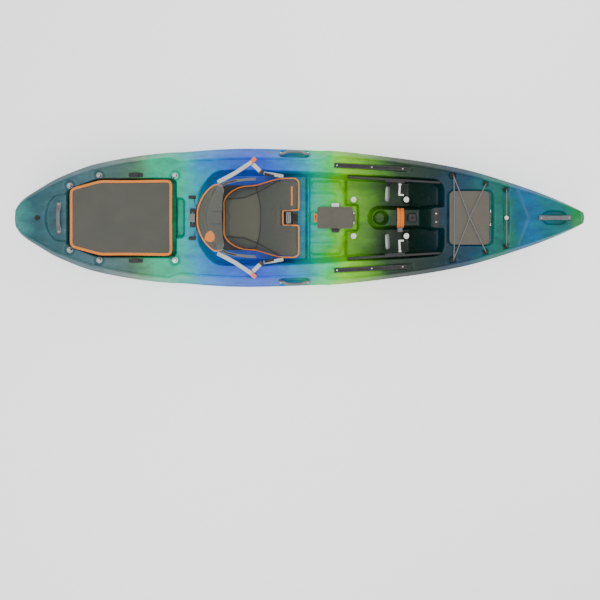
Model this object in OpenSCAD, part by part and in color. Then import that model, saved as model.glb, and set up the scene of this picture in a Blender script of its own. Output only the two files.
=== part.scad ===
// Sit-on-top paddling boat with a framed seat, foot braces, two hatches and a covered rear well.
// X runs to the bow, Y to port, Z up. The keel rests on Z = 0 and the origin is at its middle.

/* [Hull] */
// Overall length of the hull
length = 3250; // [2700:10:3900]
// Overall beam at the widest point
beam = 820; // [680:2:984]
// Height of the side decks above the keel
depth = 338; // [330:1:350]
// Thickness of the moulded wall
wall = 5.4; // [4.5:0.1:6.5]
// Width of the side deck beside the seat
seat_side_w = 136; // [125:1:145]
// Width of the side deck at the foot end
foot_side_w = 92; // [85:1:100]
// Diameter of a scupper hole at the floor
scupper_d = 34; // [28:0.2:41]

/* [Cockpit] */
// Height of the seat floor above the keel
seat_floor_z = 165; // [150:0.5:180]
// Height of the heel platform
platform_z = 150; // [140:1:160]
// Height of the footwell floor
footwell_z = 112; // [93:1:125]
// Width of the console top
console_w = 108; // [100:1:116]
// Height of the console top
console_z = 205; // [195:1:215]
// Depth of the cup holder
cup_depth = 68; // [56:1:76]

/* [Rear well] */
// Height of the rear well floor
well_z = 238; // [200:1:270]
// Half width of the well at its bow end
well_half_w = 228; // [190:1:236]
// Half width of the well at its stern end
well_stern_half_w = 160; // [133:1:176]

/* [Seat] */
// Length of the seat cushion
cushion_l = 445; // [371:1:470]
// Thickness of the seat cushion
cushion_t = 45; // [37.5:0.5:54]
// Gap between the cushion and the cockpit wall on each side
seat_gap = 34; // [30:1:50]
// Thickness of the seat pan
pan_t = 8; // [6.5:0.1:9.6]
// Width of the back pad
back_w = 360; // [300:1:380]
// Height of the back pad along its slope
back_h = 216; // [180:1:236]
// Thickness of the back pad
back_t = 36; // [30:0.5:43.2]

/* [Foot braces] */
// Length of each foot brace track
track_l = 540; // [450:1:560]
// Height of each track
track_h = 40; // [34:1:48]
// Width of each foot pad
peg_w = 90; // [75:1:96]
// Height of each foot pad
peg_h = 100; // [84:1:104]

/* [Hatches] */
// Length of the bow hatch lid
bow_lid_l = 228; // [200:1:240]
// Width of the bow hatch lid
bow_lid_w = 308; // [258:1:320]
// Length of the centre hatch lid
mid_lid_l = 211; // [176:1:216]
// Width of the centre hatch lid
mid_lid_w = 128; // [107:1:150]

/* [Fittings] */
// Length of each accessory rail
rail_l = 418; // [350:1:440]
// Width of each accessory rail
rail_w = 25; // [21:1:30]
// Height of each accessory rail
rail_h = 9; // [8:0.1:10.8]
// Length of the carry handles
handle_l = 184; // [160:1:200]
// Width of the carry handle grips
handle_w = 28; // [24:1:34]
// Diameter of the deck shock cord
cord_d = 6; // [5:0.1:7.2]
// Diameter of the toggle ball
ball_d = 24; // [20:0.5:28]

/* [Hidden] */

$fn = 32;
half_l = length / 2;
half_b = beam / 2;
clear = 0.4;        // gap between pieces that move past each other
fit = 0.05;         // radial clearance of a pin in its bore
screw_d = 5;
deck_top = depth + 60;

// Places along the boat, as shares of the half length
function at(s) = s * half_l;
cockpit_aft = at(-0.36);
cockpit_fore = at(0.51);
bar_x = at(0.028);
platform_x = at(0.166);
slope_x = at(0.406);
cup_x = at(0.2955);
ramp_x = at(0.4375);
scupper_aft_x = at(0.201);
scupper_fore_x = at(0.399);
well_aft = at(-0.8277);
well_fore = at(-0.437);
notch_l = 42;
seat_x = at(-0.1415);
back_x = at(-0.2997);
mid_lid_x = at(0.1296);
bow_lid_x = at(0.5982);
side_handle_x = at(-0.0197);
bow_handle_x = at(0.8938);
stern_handle_x = at(-0.8517);
rail_x = at(0.25);
track_x = at(0.3354);
peg_x = at(0.3194);
socket_x = at(0.411);
strap_x = at(0.366);
plate_x = at(0.4818);
keeper_x = at(0.7268);
anchor_x = at(-0.1674);
clip_x = at(-0.5785);
cleat_x = at(-0.3803);
bracket_x = at(-0.3792);
plug_x = at(-0.9237);

// Smooth curve through [place, value] points, with no overshoot
function lerp(a, b, t) = a + (b - a) * t;
function clamp(v, lo = 0, hi = 1) = max(lo, min(hi, v));
function rise(t, i) = (t[i + 1][1] - t[i][1]) / (t[i + 1][0] - t[i][0]);
function slope(t, i) = i == 0 ? rise(t, 0) : i == len(t) - 1 ? rise(t, i - 1)
    : let (a = rise(t, i - 1), b = rise(t, i)) a * b <= 0 ? 0 : 2 * a * b / (a + b);
function span(t, x, i = 0) = i >= len(t) - 2 || x < t[i + 1][0] ? i : span(t, x, i + 1);
function curve(t, x) = let (i = span(t, x), w = t[i + 1][0] - t[i][0], u = clamp((x - t[i][0]) / w),
    a = t[i][1], b = t[i + 1][1], p = slope(t, i) * w, q = slope(t, i + 1) * w)
    a + u * (p + u * (3 * (b - a) - 2 * p - q + u * (2 * (a - b) + p + q)));

// Lines of the hull: place as a share of the half length, then the value
half_line = [[-1, .146], [-.985, .234], [-.923, .41], [-.854, .571], [-.714, .778], [-.5, .919],
    [-.185, 1], [.06, .971], [.359, .846], [.572, .702], [.783, .45], [.925, .23], [.985, .117], [1, .083]];
keel_line = [[-1, .873], [-.985, .77], [-.962, .57], [-.952, .3], [-.946, .195], [-.85, .135],
    [-.62, .09], [-.48, .08], [-.37, .036], [-.22, 0], [.12, 0], [.25, .035], [.49, .09], [.74, .136],
    [.83, .186], [.862, .272], [.923, .6], [.954, .76], [.985, .94], [1, 1.005]];
chine_y_line = [[-1, .5], [-.95, .2], [-.9, .24], [-.8, .42], [-.6, .72], [-.3, .83], [0, .84],
    [.3, .82], [.55, .72], [.75, .5], [.88, .36], [1, .5]];
chine_z_line = [[-1, .94], [-.985, .87], [-.962, .74], [-.94, .64], [-.8, .536], [-.6, .426],
    [-.3, .38], [0, .37], [.3, .38], [.55, .423], [.75, .515], [.88, .674], [.96, .86], [1, 1.014]];
crease_line = [[-1, 1.05], [-.889, .997], [-.756, .944], [-.565, .87], [-.465, .846], [-.42, .763],
    [-.25, .755], [-.08, .74], [.06, .745], [.11, .843], [.338, .873], [.574, .911], [.766, .964],
    [.906, 1.02], [1, 1.024]];
ridge_line = [[-1, 1.09], [-.8, 1.083], [-.49, 1.05], [-.3, 1.02], [0, 1], [.28, .997], [.49, 1.006],
    [.677, 1.036], [.86, 1.085], [.95, 1.1], [.985, 1.085], [1, 1.04]];
inset_line = [[-1, .03], [-.9, .07], [-.7, .09], [-.465, .085], [-.42, .152], [.06, .152],
    [.11, .08], [.3, .07], [.6, .075], [.8, .06], [.95, .03], [1, .015]];
shelf_line = [[-1, 4], [-.465, 6], [-.42, 18], [.06, 18], [.11, 6], [1, 2]];
crown_line = [[-1, 6], [-.8, 10], [-.45, 4], [0, 1], [.5, 4], [.7, 14], [.93, 14], [1, 3]];

function half(x) = half_b * curve(half_line, x / half_l);
function keel_z(x) = depth * curve(keel_line, x / half_l);
function ridge_z(x) = depth * curve(ridge_line, x / half_l);
function ridge_y(x) = half(x) - half_b * curve(inset_line, x / half_l);
function deck_z(x, y) = ridge_z(x) + curve(crown_line, x / half_l)
    * (1 - pow(clamp(abs(y) / ridge_y(x)), 2));

// Half of one frame of the hull, keel to deck centre; g sets it in by a wall
function frame_points(x, g) = let (f = x / half_l, b = half(x) - g,
    k = max(keel_z(x - g), keel_z(x), keel_z(x + g)) + g * .9, yk = .16 * b,
    yc = b * curve(chine_y_line, f), zc = max(k + 1, depth * curve(chine_z_line, f)),
    zb = depth * curve(crease_line, f), s = curve(shelf_line, f),
    yr = ridge_y(x) - g, zr = ridge_z(x) - g, c = curve(crown_line, f))
    [[0, k], [yk, k], [lerp(yk, yc, .55), lerp(k, zc, .1)], [lerp(yk, yc, .88), lerp(k, zc, .45)],
     [yc, zc], [lerp(yc, b, .65), lerp(zc, zb, .45)], [b, zb], [b - s * .8, min(zb + s, zr - 1)],
     [yr, zr], [yr * .5, zr + c * .75], [0, zr + c]];
function ring(x, g) = let (h = frame_points(x, g), n = len(h)) [for (i = [0:1:n - 1]) [x, h[i][0], h[i][1]],
    for (i = [n - 2:-1:1]) [x, -h[i][0], h[i][1]]];
// Frame spacing: start, end and number of bays of each stretch
bays = [[-1, -.94, 7], [-.94, -.47, 8], [-.47, -.41, 3], [-.41, .055, 5], [.055, .115, 3],
    [.115, .8, 11], [.8, 1, 12]];
stations = [for (b = bays) for (i = [0:1:b[2] - 1]) lerp(b[0], b[1], i / b[2]), 1];

module loft(g, from = -1, to = 1) {
    xs = concat([at(from)], [for (s = stations) if (s > from + .004 && s < to - .004) at(s)], [at(to)]);
    rings = [for (x = xs) ring(x, g)];
    n = len(rings[0]);
    m = len(rings);
    points = [for (r = rings) each r];
    sides = [for (i = [0:1:m - 2]) for (j = [0:1:n - 1]) let (a = i * n + j, b = i * n + (j + 1) % n)
        each [[a, b + n, b], [a, a + n, b + n]]];
    // each end is closed by level strips from one side to the other
    strips = [for (j = [0:1:n / 2 - 1]) let (p = (n - j) % n, q = n - j - 1)
        each [if (j < n / 2 - 1) [j, j + 1, q], if (j > 0) [j, q, p]]];
    last = (m - 1) * n;
    polyhedron(points, concat(sides, strips, [for (t = strips)
        [t[2] + last, t[1] + last, t[0] + last]]), convexity = 10);
}

// Small helpers
module both_sides() {
    children();
    mirror([0, 1, 0]) children();
}
module rounded(l, w, r) offset(r = r) square([l - 2 * r, w - 2 * r], center = true);
module tapered(z, top, lean) hull() {
    translate([0, 0, z]) linear_extrude(1) offset(delta = -lean) children();
    translate([0, 0, top]) linear_extrude(1) children();
}
module across(w) rotate([90, 0, 0]) linear_extrude(w, center = true) children();
module rod(a, b, d) {
    v = b - a;
    translate(a) rotate([0, acos(v[2] / norm(v)), atan2(v[1], v[0])]) cylinder(d = d, h = norm(v));
}
module knot(p, d) translate(p) sphere(d = d);
module route(points, d) {
    for (i = [0:1:len(points) - 2]) rod(points[i], points[i + 1], d);
    for (i = [1:1:len(points) - 2]) knot(points[i], d * 1.15);
}
// Flat webbing between two points, its width lying level
module webbing(a, b, w, t) {
    v = b - a;
    translate(a) rotate([0, 0, atan2(v[1], v[0])]) rotate([0, -asin(v[2] / norm(v)), 0])
        translate([0, -w / 2, -t / 2]) cube([norm(v), w, t]);
}
module screw(h = 8, head = 10) {
    cylinder(d = head, h = 2.5);
    translate([0, 0, -h]) cylinder(d = screw_d, h = h + .5);
}

// Cockpit outline at the deck
function side_w(x) = lerp(seat_side_w, foot_side_w, clamp((x - platform_x) / (cockpit_fore - platform_x)));
function cock_half(x) = half(x) - side_w(x);
wall_lean = 20;
function cock_wall(x, z) = cock_half(x) - wall_lean * (deck_top - z) / (deck_top - footwell_z);
cock_steps = [0.018, .05, .12, .36, .52, .68, .84, 1];
module cockpit_outline() {
    span_l = cockpit_fore - cockpit_aft;
    edge = [for (s = cock_steps) let (x = cockpit_aft + s * span_l)
        [x, cock_half(x) - (s < .1 ? 55 * pow(1 - s / .1, 2) : 0)]];
    polygon(concat([[cockpit_aft, 150]], edge, [[cockpit_fore, -cock_half(cockpit_fore)]],
        [for (i = [len(edge) - 2:-1:0]) [edge[i][0], -edge[i][1]]], [[cockpit_aft, -150]]));
}
bar_z = seat_floor_z + 20;
brow_z = 250;
module floor_line() polygon([[cockpit_aft - 60, seat_floor_z], [bar_x - 20, seat_floor_z],
    [bar_x - 10, bar_z], [bar_x + 8, bar_z], [bar_x + 16, platform_z], [platform_x, platform_z],
    [platform_x + 10, footwell_z], [slope_x, footwell_z], [cockpit_fore - 24, brow_z],
    [cockpit_fore + 60, brow_z + 10], [cockpit_fore + 60, deck_top + 40],
        [cockpit_aft - 60, deck_top + 40]]);
module console(g) {
    flare = 16;
    hull() {
        translate([cup_x, 0, footwell_z - 30]) cylinder(r = console_w / 2 + flare - g, h = 1);
        translate([cup_x, 0, console_z - g - 1]) cylinder(r = console_w / 2 - g, h = 1);
        translate([cockpit_fore - 1, -console_w / 2 - flare + g, footwell_z - 30])
            cube([60, console_w + 2 * flare - 2 * g, 1]);
        translate([cockpit_fore - 1, -console_w / 2 + g, console_z - g - 1])
            cube([60, console_w - 2 * g, 1]);
    }
    hull() {
        translate([ramp_x + g, -console_w / 2 + g, console_z - g - 60]) cube([120, console_w - 2 * g, 60]);
        translate([ramp_x + 62 + g, -console_w / 2 - 6 + g, deck_top - g])
            cube([120, console_w + 12 - 2 * g, 1]);
    }
}
// Raised block that carries the bow end of the centre hatch and its hinge
module plinth(g) translate([platform_x - 20, -min(mid_lid_w / 2 + 12, 78) + g, footwell_z - 30])
    cube([mid_hinge_x + 24 - g - platform_x + 20, 2 * min(mid_lid_w / 2 + 12, 78) - 2 * g,
        platform_z - g - footwell_z + 30]);
module cockpit(g = 0) difference() {
    intersection() {
        tapered(footwell_z - g - 1, deck_top, wall_lean) offset(delta = g) cockpit_outline();
        across(beam) offset(delta = g) floor_line();
    }
    difference() {
        union() {
            console(g);
            plinth(g);
        }
        translate([0, 0, deck_z(plate_x, 0) - g]) cube([length, beam, 100]);
    }
}
module cup(g = 0) translate([cup_x, 0, console_z - cup_depth - g])
    cylinder(r1 = 34 + g, r2 = 43 + g, h = cup_depth + g + 1);

// Rear well with its stepped front
function well_half(x) = lerp(well_stern_half_w, well_half_w, clamp((x - well_aft) / 185));
module well_outline() offset(r = 26) offset(delta = -26)
    polygon([[well_aft, well_stern_half_w], [well_aft + 185, well_half_w], [well_fore, well_half_w],
        [well_fore, -well_half_w], [well_aft + 185, -well_half_w], [well_aft, -well_stern_half_w]]);
module rear_well(g = 0) {
    tapered(well_z - g, deck_top, 14) offset(delta = g) well_outline();
    hull() for (x = [well_fore - 40, well_fore + notch_l - 20], y = [-1, 1])
        translate([x, y * 92, well_z + 50 - g]) cylinder(r = 20 + g, h = deck_top - well_z);
}

// Hatch openings
bow_seat_z = ridge_z(bow_lid_x) - 8;
bow_hinge_x = bow_lid_x + bow_lid_l / 2 + 8;
module bow_tub(g = 0) {
    tub_l = bow_lid_l - 44;
    tub_w = bow_lid_w - 56;
    hull() for (z = [bow_seat_z - 148, bow_seat_z]) translate([bow_lid_x, 0, z - g])
        linear_extrude(1 + g) rounded(tub_l - (z < bow_seat_z ? 40 : 0) + 2 * g,
            tub_w - (z < bow_seat_z ? 60 : 0) + 2 * g, 24);
    translate([bow_lid_x + 8, 0, bow_seat_z - g]) linear_extrude(90)
        rounded(bow_lid_l + 26 + 2 * g, bow_lid_w + 10 + 2 * g, 30);
}
bin_z = 62;
module mid_bin(g = 0) translate([mid_lid_x, 0, bin_z - g])
    linear_extrude(platform_z - bin_z + 20) rounded(mid_lid_l - 22 + 2 * g, mid_lid_w - 22 + 2 * g, 18);

// Handles and their recesses
side_lean = 36;
function side_z() = depth * .885;
function side_y() = let (f = side_handle_x / half_l, s = curve(shelf_line, f), b = half(side_handle_x),
    z0 = depth * curve(crease_line, f) + s, z1 = ridge_z(side_handle_x))
    lerp(b - s * .8, ridge_y(side_handle_x), (side_z() - z0) / (z1 - z0));
module side_place() translate([side_handle_x, side_y() - 2, side_z()]) rotate([side_lean - 90, 0, 0])
    children();
module side_pocket(g = 0) side_place() hull() {
    translate([0, 12, 20]) linear_extrude(1) rounded(handle_l - 12 + 2 * g, 92 + 2 * g, 26);
    translate([0, 8, -38 - g]) linear_extrude(1) rounded(handle_l - 50 + 2 * g, 56 + 2 * g, 22);
}
bow_handle_z = deck_z(bow_handle_x, 0) - 3;
module bow_recess(g = 0) hull() for (x = [-1, 1])
    translate([bow_handle_x + x * (handle_l / 2 - 62), 0, bow_handle_z - 18 - g])
    cylinder(r1 = 34 + g, r2 = 44 + g, h = 60);
stern_floor_z = ridge_z(stern_handle_x) - 18;
module stern_recess(g = 0) hull() {
    translate([stern_handle_x + 10, 0, stern_floor_z - g]) scale([.62, 1, 1])
        cylinder(r1 = 128 + g, r2 = 142 + g, h = 70);
    translate([well_aft - 6, -130 - g, stern_floor_z - g]) cube([16, 260 + 2 * g, 70]);
}

// Seats cut for fittings on deck
function eye_y(x) = ridge_y(x) - 24;
eye_xs = [at(0.5412), at(0.6566), keeper_x];
eye_sink = 12;
function eye_z(x) = deck_z(x, eye_y(x)) - eye_sink;
module eye_cups(g = 0) both_sides() for (x = eye_xs) translate([x, eye_y(x), eye_z(x) - g])
    cylinder(r1 = 17 + g, r2 = 20 + g, h = 40, $fn = 20);
hook_xs = [at(-0.8123), at(-0.709), at(-0.443)];
function hook_y(x) = well_half(x) + 15;
hook_sink = 18;
function hook_z(x) = deck_z(x, hook_y(x)) - hook_sink;
module hook_cups(g = 0) both_sides() for (x = hook_xs) translate([x, hook_y(x), hook_z(x) - g])
    cylinder(r1 = 24 + g, r2 = 33 + g, h = 40, $fn = 20);
rail_gap = 1.5;
rail_z = ridge_z(rail_x) - rail_h - 1;
function rail_y(x) = cock_half(x) + 48;
rail_angle = atan((rail_y(rail_x + rail_l / 2) - rail_y(rail_x - rail_l / 2)) / rail_l);
module rail_place() translate([rail_x, rail_y(rail_x), rail_z]) rotate([0, 0, rail_angle]) children();
module rail_channel(g = 0) rail_place() translate([0, 0, -g]) linear_extrude(60)
    square([rail_l + 66 + 2 * g, rail_w + 2 * rail_gap + 2 * g], center = true);
keeper_z = eye_z(keeper_x) + 21;
module keeper_valley(g = 0) hull() for (y = [-1, 1])
    translate([keeper_x, y * (eye_y(keeper_x) - 34), keeper_z - ball_d / 2 - 2 - g])
    cylinder(r1 = 15 + g, r2 = 22 + g, h = 50, $fn = 20);
module flat_seat(x, y, sink, l, w, a = 0, g = 0) translate([x, y, deck_z(x, y) - sink - g])
    rotate([0, 0, a])
    linear_extrude(30) rounded(l + 2 * g, w + 2 * g, 4);
anchor_y = ridge_y(anchor_x) - 20;
clip_y = well_half_w + 17;
cleat_y = 118;
anchor_angle = 45;
module seats(g = 0) {
    both_sides() {
        flat_seat(anchor_x, anchor_y, 3, 52, 28, anchor_angle, g);
        flat_seat(clip_x, clip_y, 3, 84, 30, 0, g);
        flat_seat(cleat_x, cleat_y, 3, 44, 26, 0, g);
    }
    flat_seat(bracket_x, 0, 3, 36, 114, 0, g);
    flat_seat(plate_x, 0, 3, 40, 118, 0, g);
    for (x = [-1, 1]) translate([bow_handle_x + x * (handle_l / 2 - 14), 0, bow_handle_z - g])
        linear_extrude(40) square([32 + 2 * g, handle_w + 4 + 2 * g], center = true);
}
module socket_hole(g = 0) translate([socket_x, 0, console_z - 26 - g]) linear_extrude(60)
    square(37 + 2 * g, center = true);
plug_z = deck_z(plug_x, 0) - 4;
module plug_hole(g = 0) translate([plug_x, 0, plug_z - g]) {
    cylinder(d = 30 + 2 * g, h = 30);
    translate([0, 0, -14]) cylinder(d = 19 + 2 * g, h = 20);
}
module scupper(g = 0) both_sides() for (x = [scupper_aft_x, scupper_fore_x])
    translate([x, console_w / 2 + 57, -4]) cylinder(d1 = scupper_d + 30 + 2 * g, d2 = scupper_d + 2 * g,
        h = footwell_z + 4 + g);
module scupper_dish(g = 0) both_sides() for (x = [scupper_aft_x, scupper_fore_x])
    translate([x, console_w / 2 + 57, footwell_z - 5 - g])
        cylinder(r1 = scupper_d / 2 + 4 + g, r2 = scupper_d / 2 + 12 + g, h = 6 + g);

skid_aft = at(-0.948);
skid_fore = at(-0.853);
skid_t = 10;
module skid_profile(drop = 1) {
    xs = [for (i = [0:1:6]) lerp(skid_aft, skid_fore, i / 6)];
    polygon(concat([for (x = xs) [x, keel_z(x + 5) - drop]],
        [for (i = [6:-1:0]) [xs[i], keel_z(xs[i] + 5) + skid_t]]));
}

module hollows(g = 0) {
    cockpit(g);
    cup(g);
    rear_well(g);
    bow_tub(g);
    mid_bin(g);
    both_sides() side_pocket(g);
    bow_recess(g);
    stern_recess(g);
    eye_cups(g);
    hook_cups(g);
    both_sides() rail_channel(g);
    keeper_valley(g);
    seats(g);
    socket_hole(g);
    scupper_dish(g);
}
module hull_body() color("deepskyblue") difference() {
    $fn = 16;
    union() {
        difference() {
            loft(0);
            loft(wall, -.945, .95);
        }
        intersection() {
            loft(0);
            union() {
                hollows(wall);
                scupper(wall);
                across(80) offset(delta = wall) skid_profile(30);
            }
        }
    }
    hollows();
    plug_hole();
    scupper();
    across(90) offset(delta = .1) skid_profile(30);
}

module skid_plate() color("black") across(62) skid_profile();
module seat_foam_block() color("whitesmoke") translate([seat_x - 70, -48, wall * .9 + .1])
    cube([140, 96, seat_floor_z - wall * 1.9 - .2]);
module drain_plug() color("dimgray") translate([plug_x, 0, plug_z]) {
    cylinder(d = 28, h = 5);
    translate([0, 0, -12]) cylinder(d = 18.4, h = 13);
    translate([-2.5, -9, 4]) cube([5, 18, 6]);
}

// Carry handles: a flat foot at each end and a raised grip between
module grip(rise_h, t = 7) {
    foot = 28;
    r = handle_l / 2;
    difference() {
        rotate([90, 0, 0]) linear_extrude(handle_w, center = true) polygon([[-r, 0], [-r + foot, 0],
            [-r + foot + 26, rise_h - t], [r - foot - 26, rise_h - t], [r - foot, 0], [r, 0], [r, t],
            [r - foot + 4, t], [r - foot - 22, rise_h], [-r + foot + 22, rise_h], [-r + foot - 4, t],
                [-r, t]]);
        for (s = [-1, 1]) translate([s * (r - 13), 0, -1]) cylinder(d = screw_d + .4, h = t + 2);
    }
}
module grip_screws() for (s = [-1, 1]) translate([s * (handle_l / 2 - 13), 0, 7]) screw(10);
side_stand = 4.8;
module bow_handle_place() translate([bow_handle_x, 0, bow_handle_z]) children();
module stern_handle_place() translate([stern_handle_x, 0, stern_floor_z]) rotate([0, 0, 90]) children();
module bow_handle() color("gray") bow_handle_place() grip(26);
module stern_handle() color("gray") stern_handle_place() grip(24);
module side_handle(s) color("gray") mirror([0, s < 0 ? 1 : 0, 0]) side_place()
    translate([0, 0, side_stand]) grip(22);
module handle_screws() color("silver") {
    bow_handle_place() grip_screws();
    stern_handle_place() grip_screws();
    both_sides() side_place() translate([0, 0, side_stand]) grip_screws();
}

// Accessory rail: a channel with an undercut slot
rail_screws_x = [-rail_l / 2 + 16, 8, rail_l / 2 - 22];
module rail() color("black") rail_place() difference() {
    translate([0, 0, rail_h / 2]) cube([rail_l, rail_w, rail_h], center = true);
    translate([0, 0, 2.4 + (rail_h - 2.4) / 4])
        cube([rail_l + 2, rail_w - 7, (rail_h - 2.4) / 2], center = true);
    translate([0, 0, rail_h]) cube([rail_l + 2, rail_w - 15, rail_h], center = true);
    for (x = rail_screws_x) translate([x, 0, -1]) cylinder(d = 4.4, h = 5);
}
module rail_screws() color("silver") both_sides() rail_place() for (x = rail_screws_x)
    translate([x, 0, 2.4]) {
    cylinder(d = 8, h = 2);
    translate([0, 0, -10]) cylinder(d = 4, h = 10.5);
}

// Foot brace track, its carriage, pad and lock lever
track_t = 11;
track_z = ridge_z(track_x) - 28;
track_low = track_z - track_h / 2;
function track_face(x) = cock_wall(x, track_low) - 1;
track_a = track_x - track_l / 2;
track_b = track_x + track_l / 2;
track_angle = atan((track_face(track_b) - track_face(track_a)) / track_l);
module track_place() translate([track_x, (track_face(track_a) + track_face(track_b)) / 2, track_z])
    rotate([0, 0, track_angle]) children();
lip = 7;
hole_step = 18;
hole_n = floor((track_l - 60) / hole_step / 2);
module track() color("black") track_place() difference() {
    translate([-track_l / 2, -track_t, -track_h / 2]) cube([track_l, track_t, track_h]);
    translate([-track_l / 2 + 8, -track_t - 1, -track_h / 2 + lip])
        cube([track_l - 16, track_t - 3, track_h - 2 * lip]);
    for (i = [-hole_n:1:hole_n]) translate([i * hole_step, 1, 0]) rotate([90, 0, 0]) cylinder(d = 8, h = 8);
    for (x = track_screw_x) translate([x, 1, 0]) rotate([90, 0, 0]) cylinder(d = 5.4, h = 6);
}
track_screw_x = [-track_l / 2 + 17, track_l / 2 - 17];
module track_screws() color("silver") both_sides() track_place() for (x = track_screw_x)
    translate([x, -4, 0]) rotate([90, 0, 0]) {
        cylinder(d = 10, h = 2.5);
        translate([0, 0, -5]) cylinder(d = 5, h = 5.5);
    }
shoe_h = track_h - 2 * lip - 2 * clear;
peg_s = (peg_x - track_x) / cos(track_angle);
lever_x = 62;
barrel_d = 13;
lever_pin_d = 6;
lug_t = 6;
lever_gap = 15;
module peg_place() track_place() translate([peg_s, 0, 0]) children();
lever_y = -track_t - 17;
module peg_carriage() color("dimgray") peg_place() {
    translate([-26, -track_t - 3, -shoe_h / 2]) cube([112, track_t - 1 - clear, shoe_h]);
    translate([-26, -track_t - 9, -track_h / 2]) cube([112, 8.5, track_h]);
    // arm down to the foot pad
    hull() {
        translate([-12, -track_t - 9, -track_h / 2 + 4]) cube([24, 6, track_h - 8]);
        translate([-8, -track_t - 30, -40]) cube([16, 8, 26]);
    }
    // lugs with the pin of the lock lever
    for (s = [-1, 1]) translate([lever_x + s * (lever_gap / 2 + clear + lug_t / 2), lever_y, 0]) {
        translate([-lug_t / 2, -1, -7]) cube([lug_t, 10, 14]);
        rotate([0, 90, 0]) cylinder(d = 14, h = lug_t, center = true);
    }
    translate([lever_x, lever_y, 0]) rotate([0, 90, 0])
        cylinder(d = lever_pin_d, h = lever_gap + 2 * clear + lug_t, center = true);
}
pad_y = -track_t - 30 - peg_w / 2;
module foot_pad() color("lightgray") peg_place() translate([0, pad_y, -50]) rotate([0, -15, 0])
    difference() {
    rotate([0, 90, 0]) linear_extrude(16, center = true) rounded(peg_h, peg_w, 18);
    for (z = [-32, -16, 0, 16, 32]) translate([-8, 0, z]) rotate([90, 0, 0])
        cylinder(d = 5, h = peg_w - 26, center = true);
}
module lock_lever() color("white") peg_place() translate([lever_x, lever_y, 0]) {
    difference() {
        union() {
            rotate([0, 90, 0]) cylinder(d = barrel_d, h = lever_gap, center = true);
            translate([-5, -58, -4]) cube([10, 58, 8]);
        }
        rotate([0, 90, 0]) cylinder(d = lever_pin_d + 2 * fit, h = lever_gap + 1, center = true);
    }
    translate([-5, -66, -4]) cube([30, 9, 8]);
}

// Centre hatch
lid_gap = .5;
mid_lid_h = 15;
mid_hinge_x = mid_lid_x + mid_lid_l / 2 + 8;
mid_hinge_z = platform_z + 8;
knuckle_d = 13;
hinge_pin_d = 6;
module centre_lid() color("dimgray") difference() {
    union() {
        translate([mid_lid_x, 0, platform_z + lid_gap]) linear_extrude(mid_lid_h)
            rounded(mid_lid_l, mid_lid_w, 10);
        translate([mid_hinge_x, 0, mid_hinge_z]) rotate([90, 0, 0])
            cylinder(d = knuckle_d, h = 44, center = true);
        translate([mid_hinge_x - 12, -22, mid_hinge_z - 5]) cube([12, 44, 10]);
        for (s = [-1, 1]) translate([latch_x, s * latch_y, latch_z]) rotate([0, 90, 0])
            cylinder(d = latch_pin_d, h = latch_l + 8, center = true);
        for (s = [-1, 1], e = [-1, 1]) translate([latch_x + e * (latch_l / 2 + clear + 3),
            s * (mid_lid_w / 2 + 2), latch_z])
            cube([6, 16, 9], center = true);
    }
    translate([mid_lid_x, 0, platform_z + lid_gap - 1]) linear_extrude(mid_lid_h - 3)
        rounded(mid_lid_l - 10, mid_lid_w - 10, 8);
    translate([mid_hinge_x, 0, mid_hinge_z]) rotate([90, 0, 0])
        cylinder(d = hinge_pin_d + 2 * fit, h = 60, center = true);
}
latch_l = 44;
latch_x = mid_lid_x + 2;
latch_pin_d = 4;
latch_y = mid_lid_w / 2 + 6;
latch_z = platform_z + 9;
module hinge_stand(d, w, h) {
    rotate([90, 0, 0]) cylinder(d = d, h = w, center = true);
    translate([-d / 2, -w / 2, -h]) cube([d, w, h]);
}
module centre_hinge_pin() color("silver") translate([mid_hinge_x, 0, mid_hinge_z]) {
    rotate([90, 0, 0]) cylinder(d = hinge_pin_d, h = 60, center = true);
    for (s = [-1, 1]) translate([0, s * (22 + clear + 7.5), 0])
        hinge_stand(knuckle_d, 15, mid_hinge_z - platform_z);
}
module latch(s) color(s > 0 ? "silver" : "black") mirror([0, s < 0 ? 1 : 0, 0])
    translate([latch_x, latch_y, latch_z]) difference() {
    union() {
        rotate([0, 90, 0]) cylinder(d = 9, h = latch_l, center = true);
        translate([-latch_l / 2, 0, -4.5]) cube([latch_l, 18, 6]);
    }
    rotate([0, 90, 0]) cylinder(d = latch_pin_d + 2 * fit, h = latch_l + 1, center = true);
}
module lid_pull_tab() color("orange") translate([mid_lid_x - mid_lid_l / 2 - 10, 0, platform_z + 6])
    linear_extrude(4) difference() {
        rounded(20, 50, 4);
        square([8, 30], center = true);
    }

// Console pieces
strap_t = 2.5;
module bottle_strap() color("darkorange") translate([strap_x, 0, console_z]) rotate([90, 0, 90])
    linear_extrude(42, center = true)
    difference() {
        union() {
            scale([1, .42]) circle(r = console_w / 2 + 4, $fn = 48);
            square([console_w + 8, strap_t * 2], center = true);
        }
        scale([1, .42]) circle(r = console_w / 2 + 4 - strap_t * 1.6, $fn = 48);
        translate([-200, -200]) square([400, 200]);
    }
module strap_tab() color("gray") translate([strap_x, -console_w / 2 - 17.1, console_z + 2])
    cube([30, 26, 3.6], center = true);
socket_w = 36;
module accessory_socket() color("black") translate([socket_x, 0, console_z - 25.9]) difference() {
    union() {
        translate([-socket_w / 2, -socket_w / 2, 0]) cube([socket_w, socket_w, 25.9]);
        translate([-socket_w / 2 - 5, -socket_w / 2 - 5, 25.9]) cube([socket_w + 10, socket_w + 10, 3]);
    }
    translate([0, 0, 6]) cylinder(d = 10, h = 30);
}
plate_z = deck_z(plate_x, 0) - 3;
module console_plate() color("black") translate([plate_x, 0, plate_z]) difference() {
    linear_extrude(6) rounded(35, 112, 8);
    for (s = [-1, 1]) translate([0, s * 24, -1]) cylinder(d = 5.4, h = 8);
}
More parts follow.
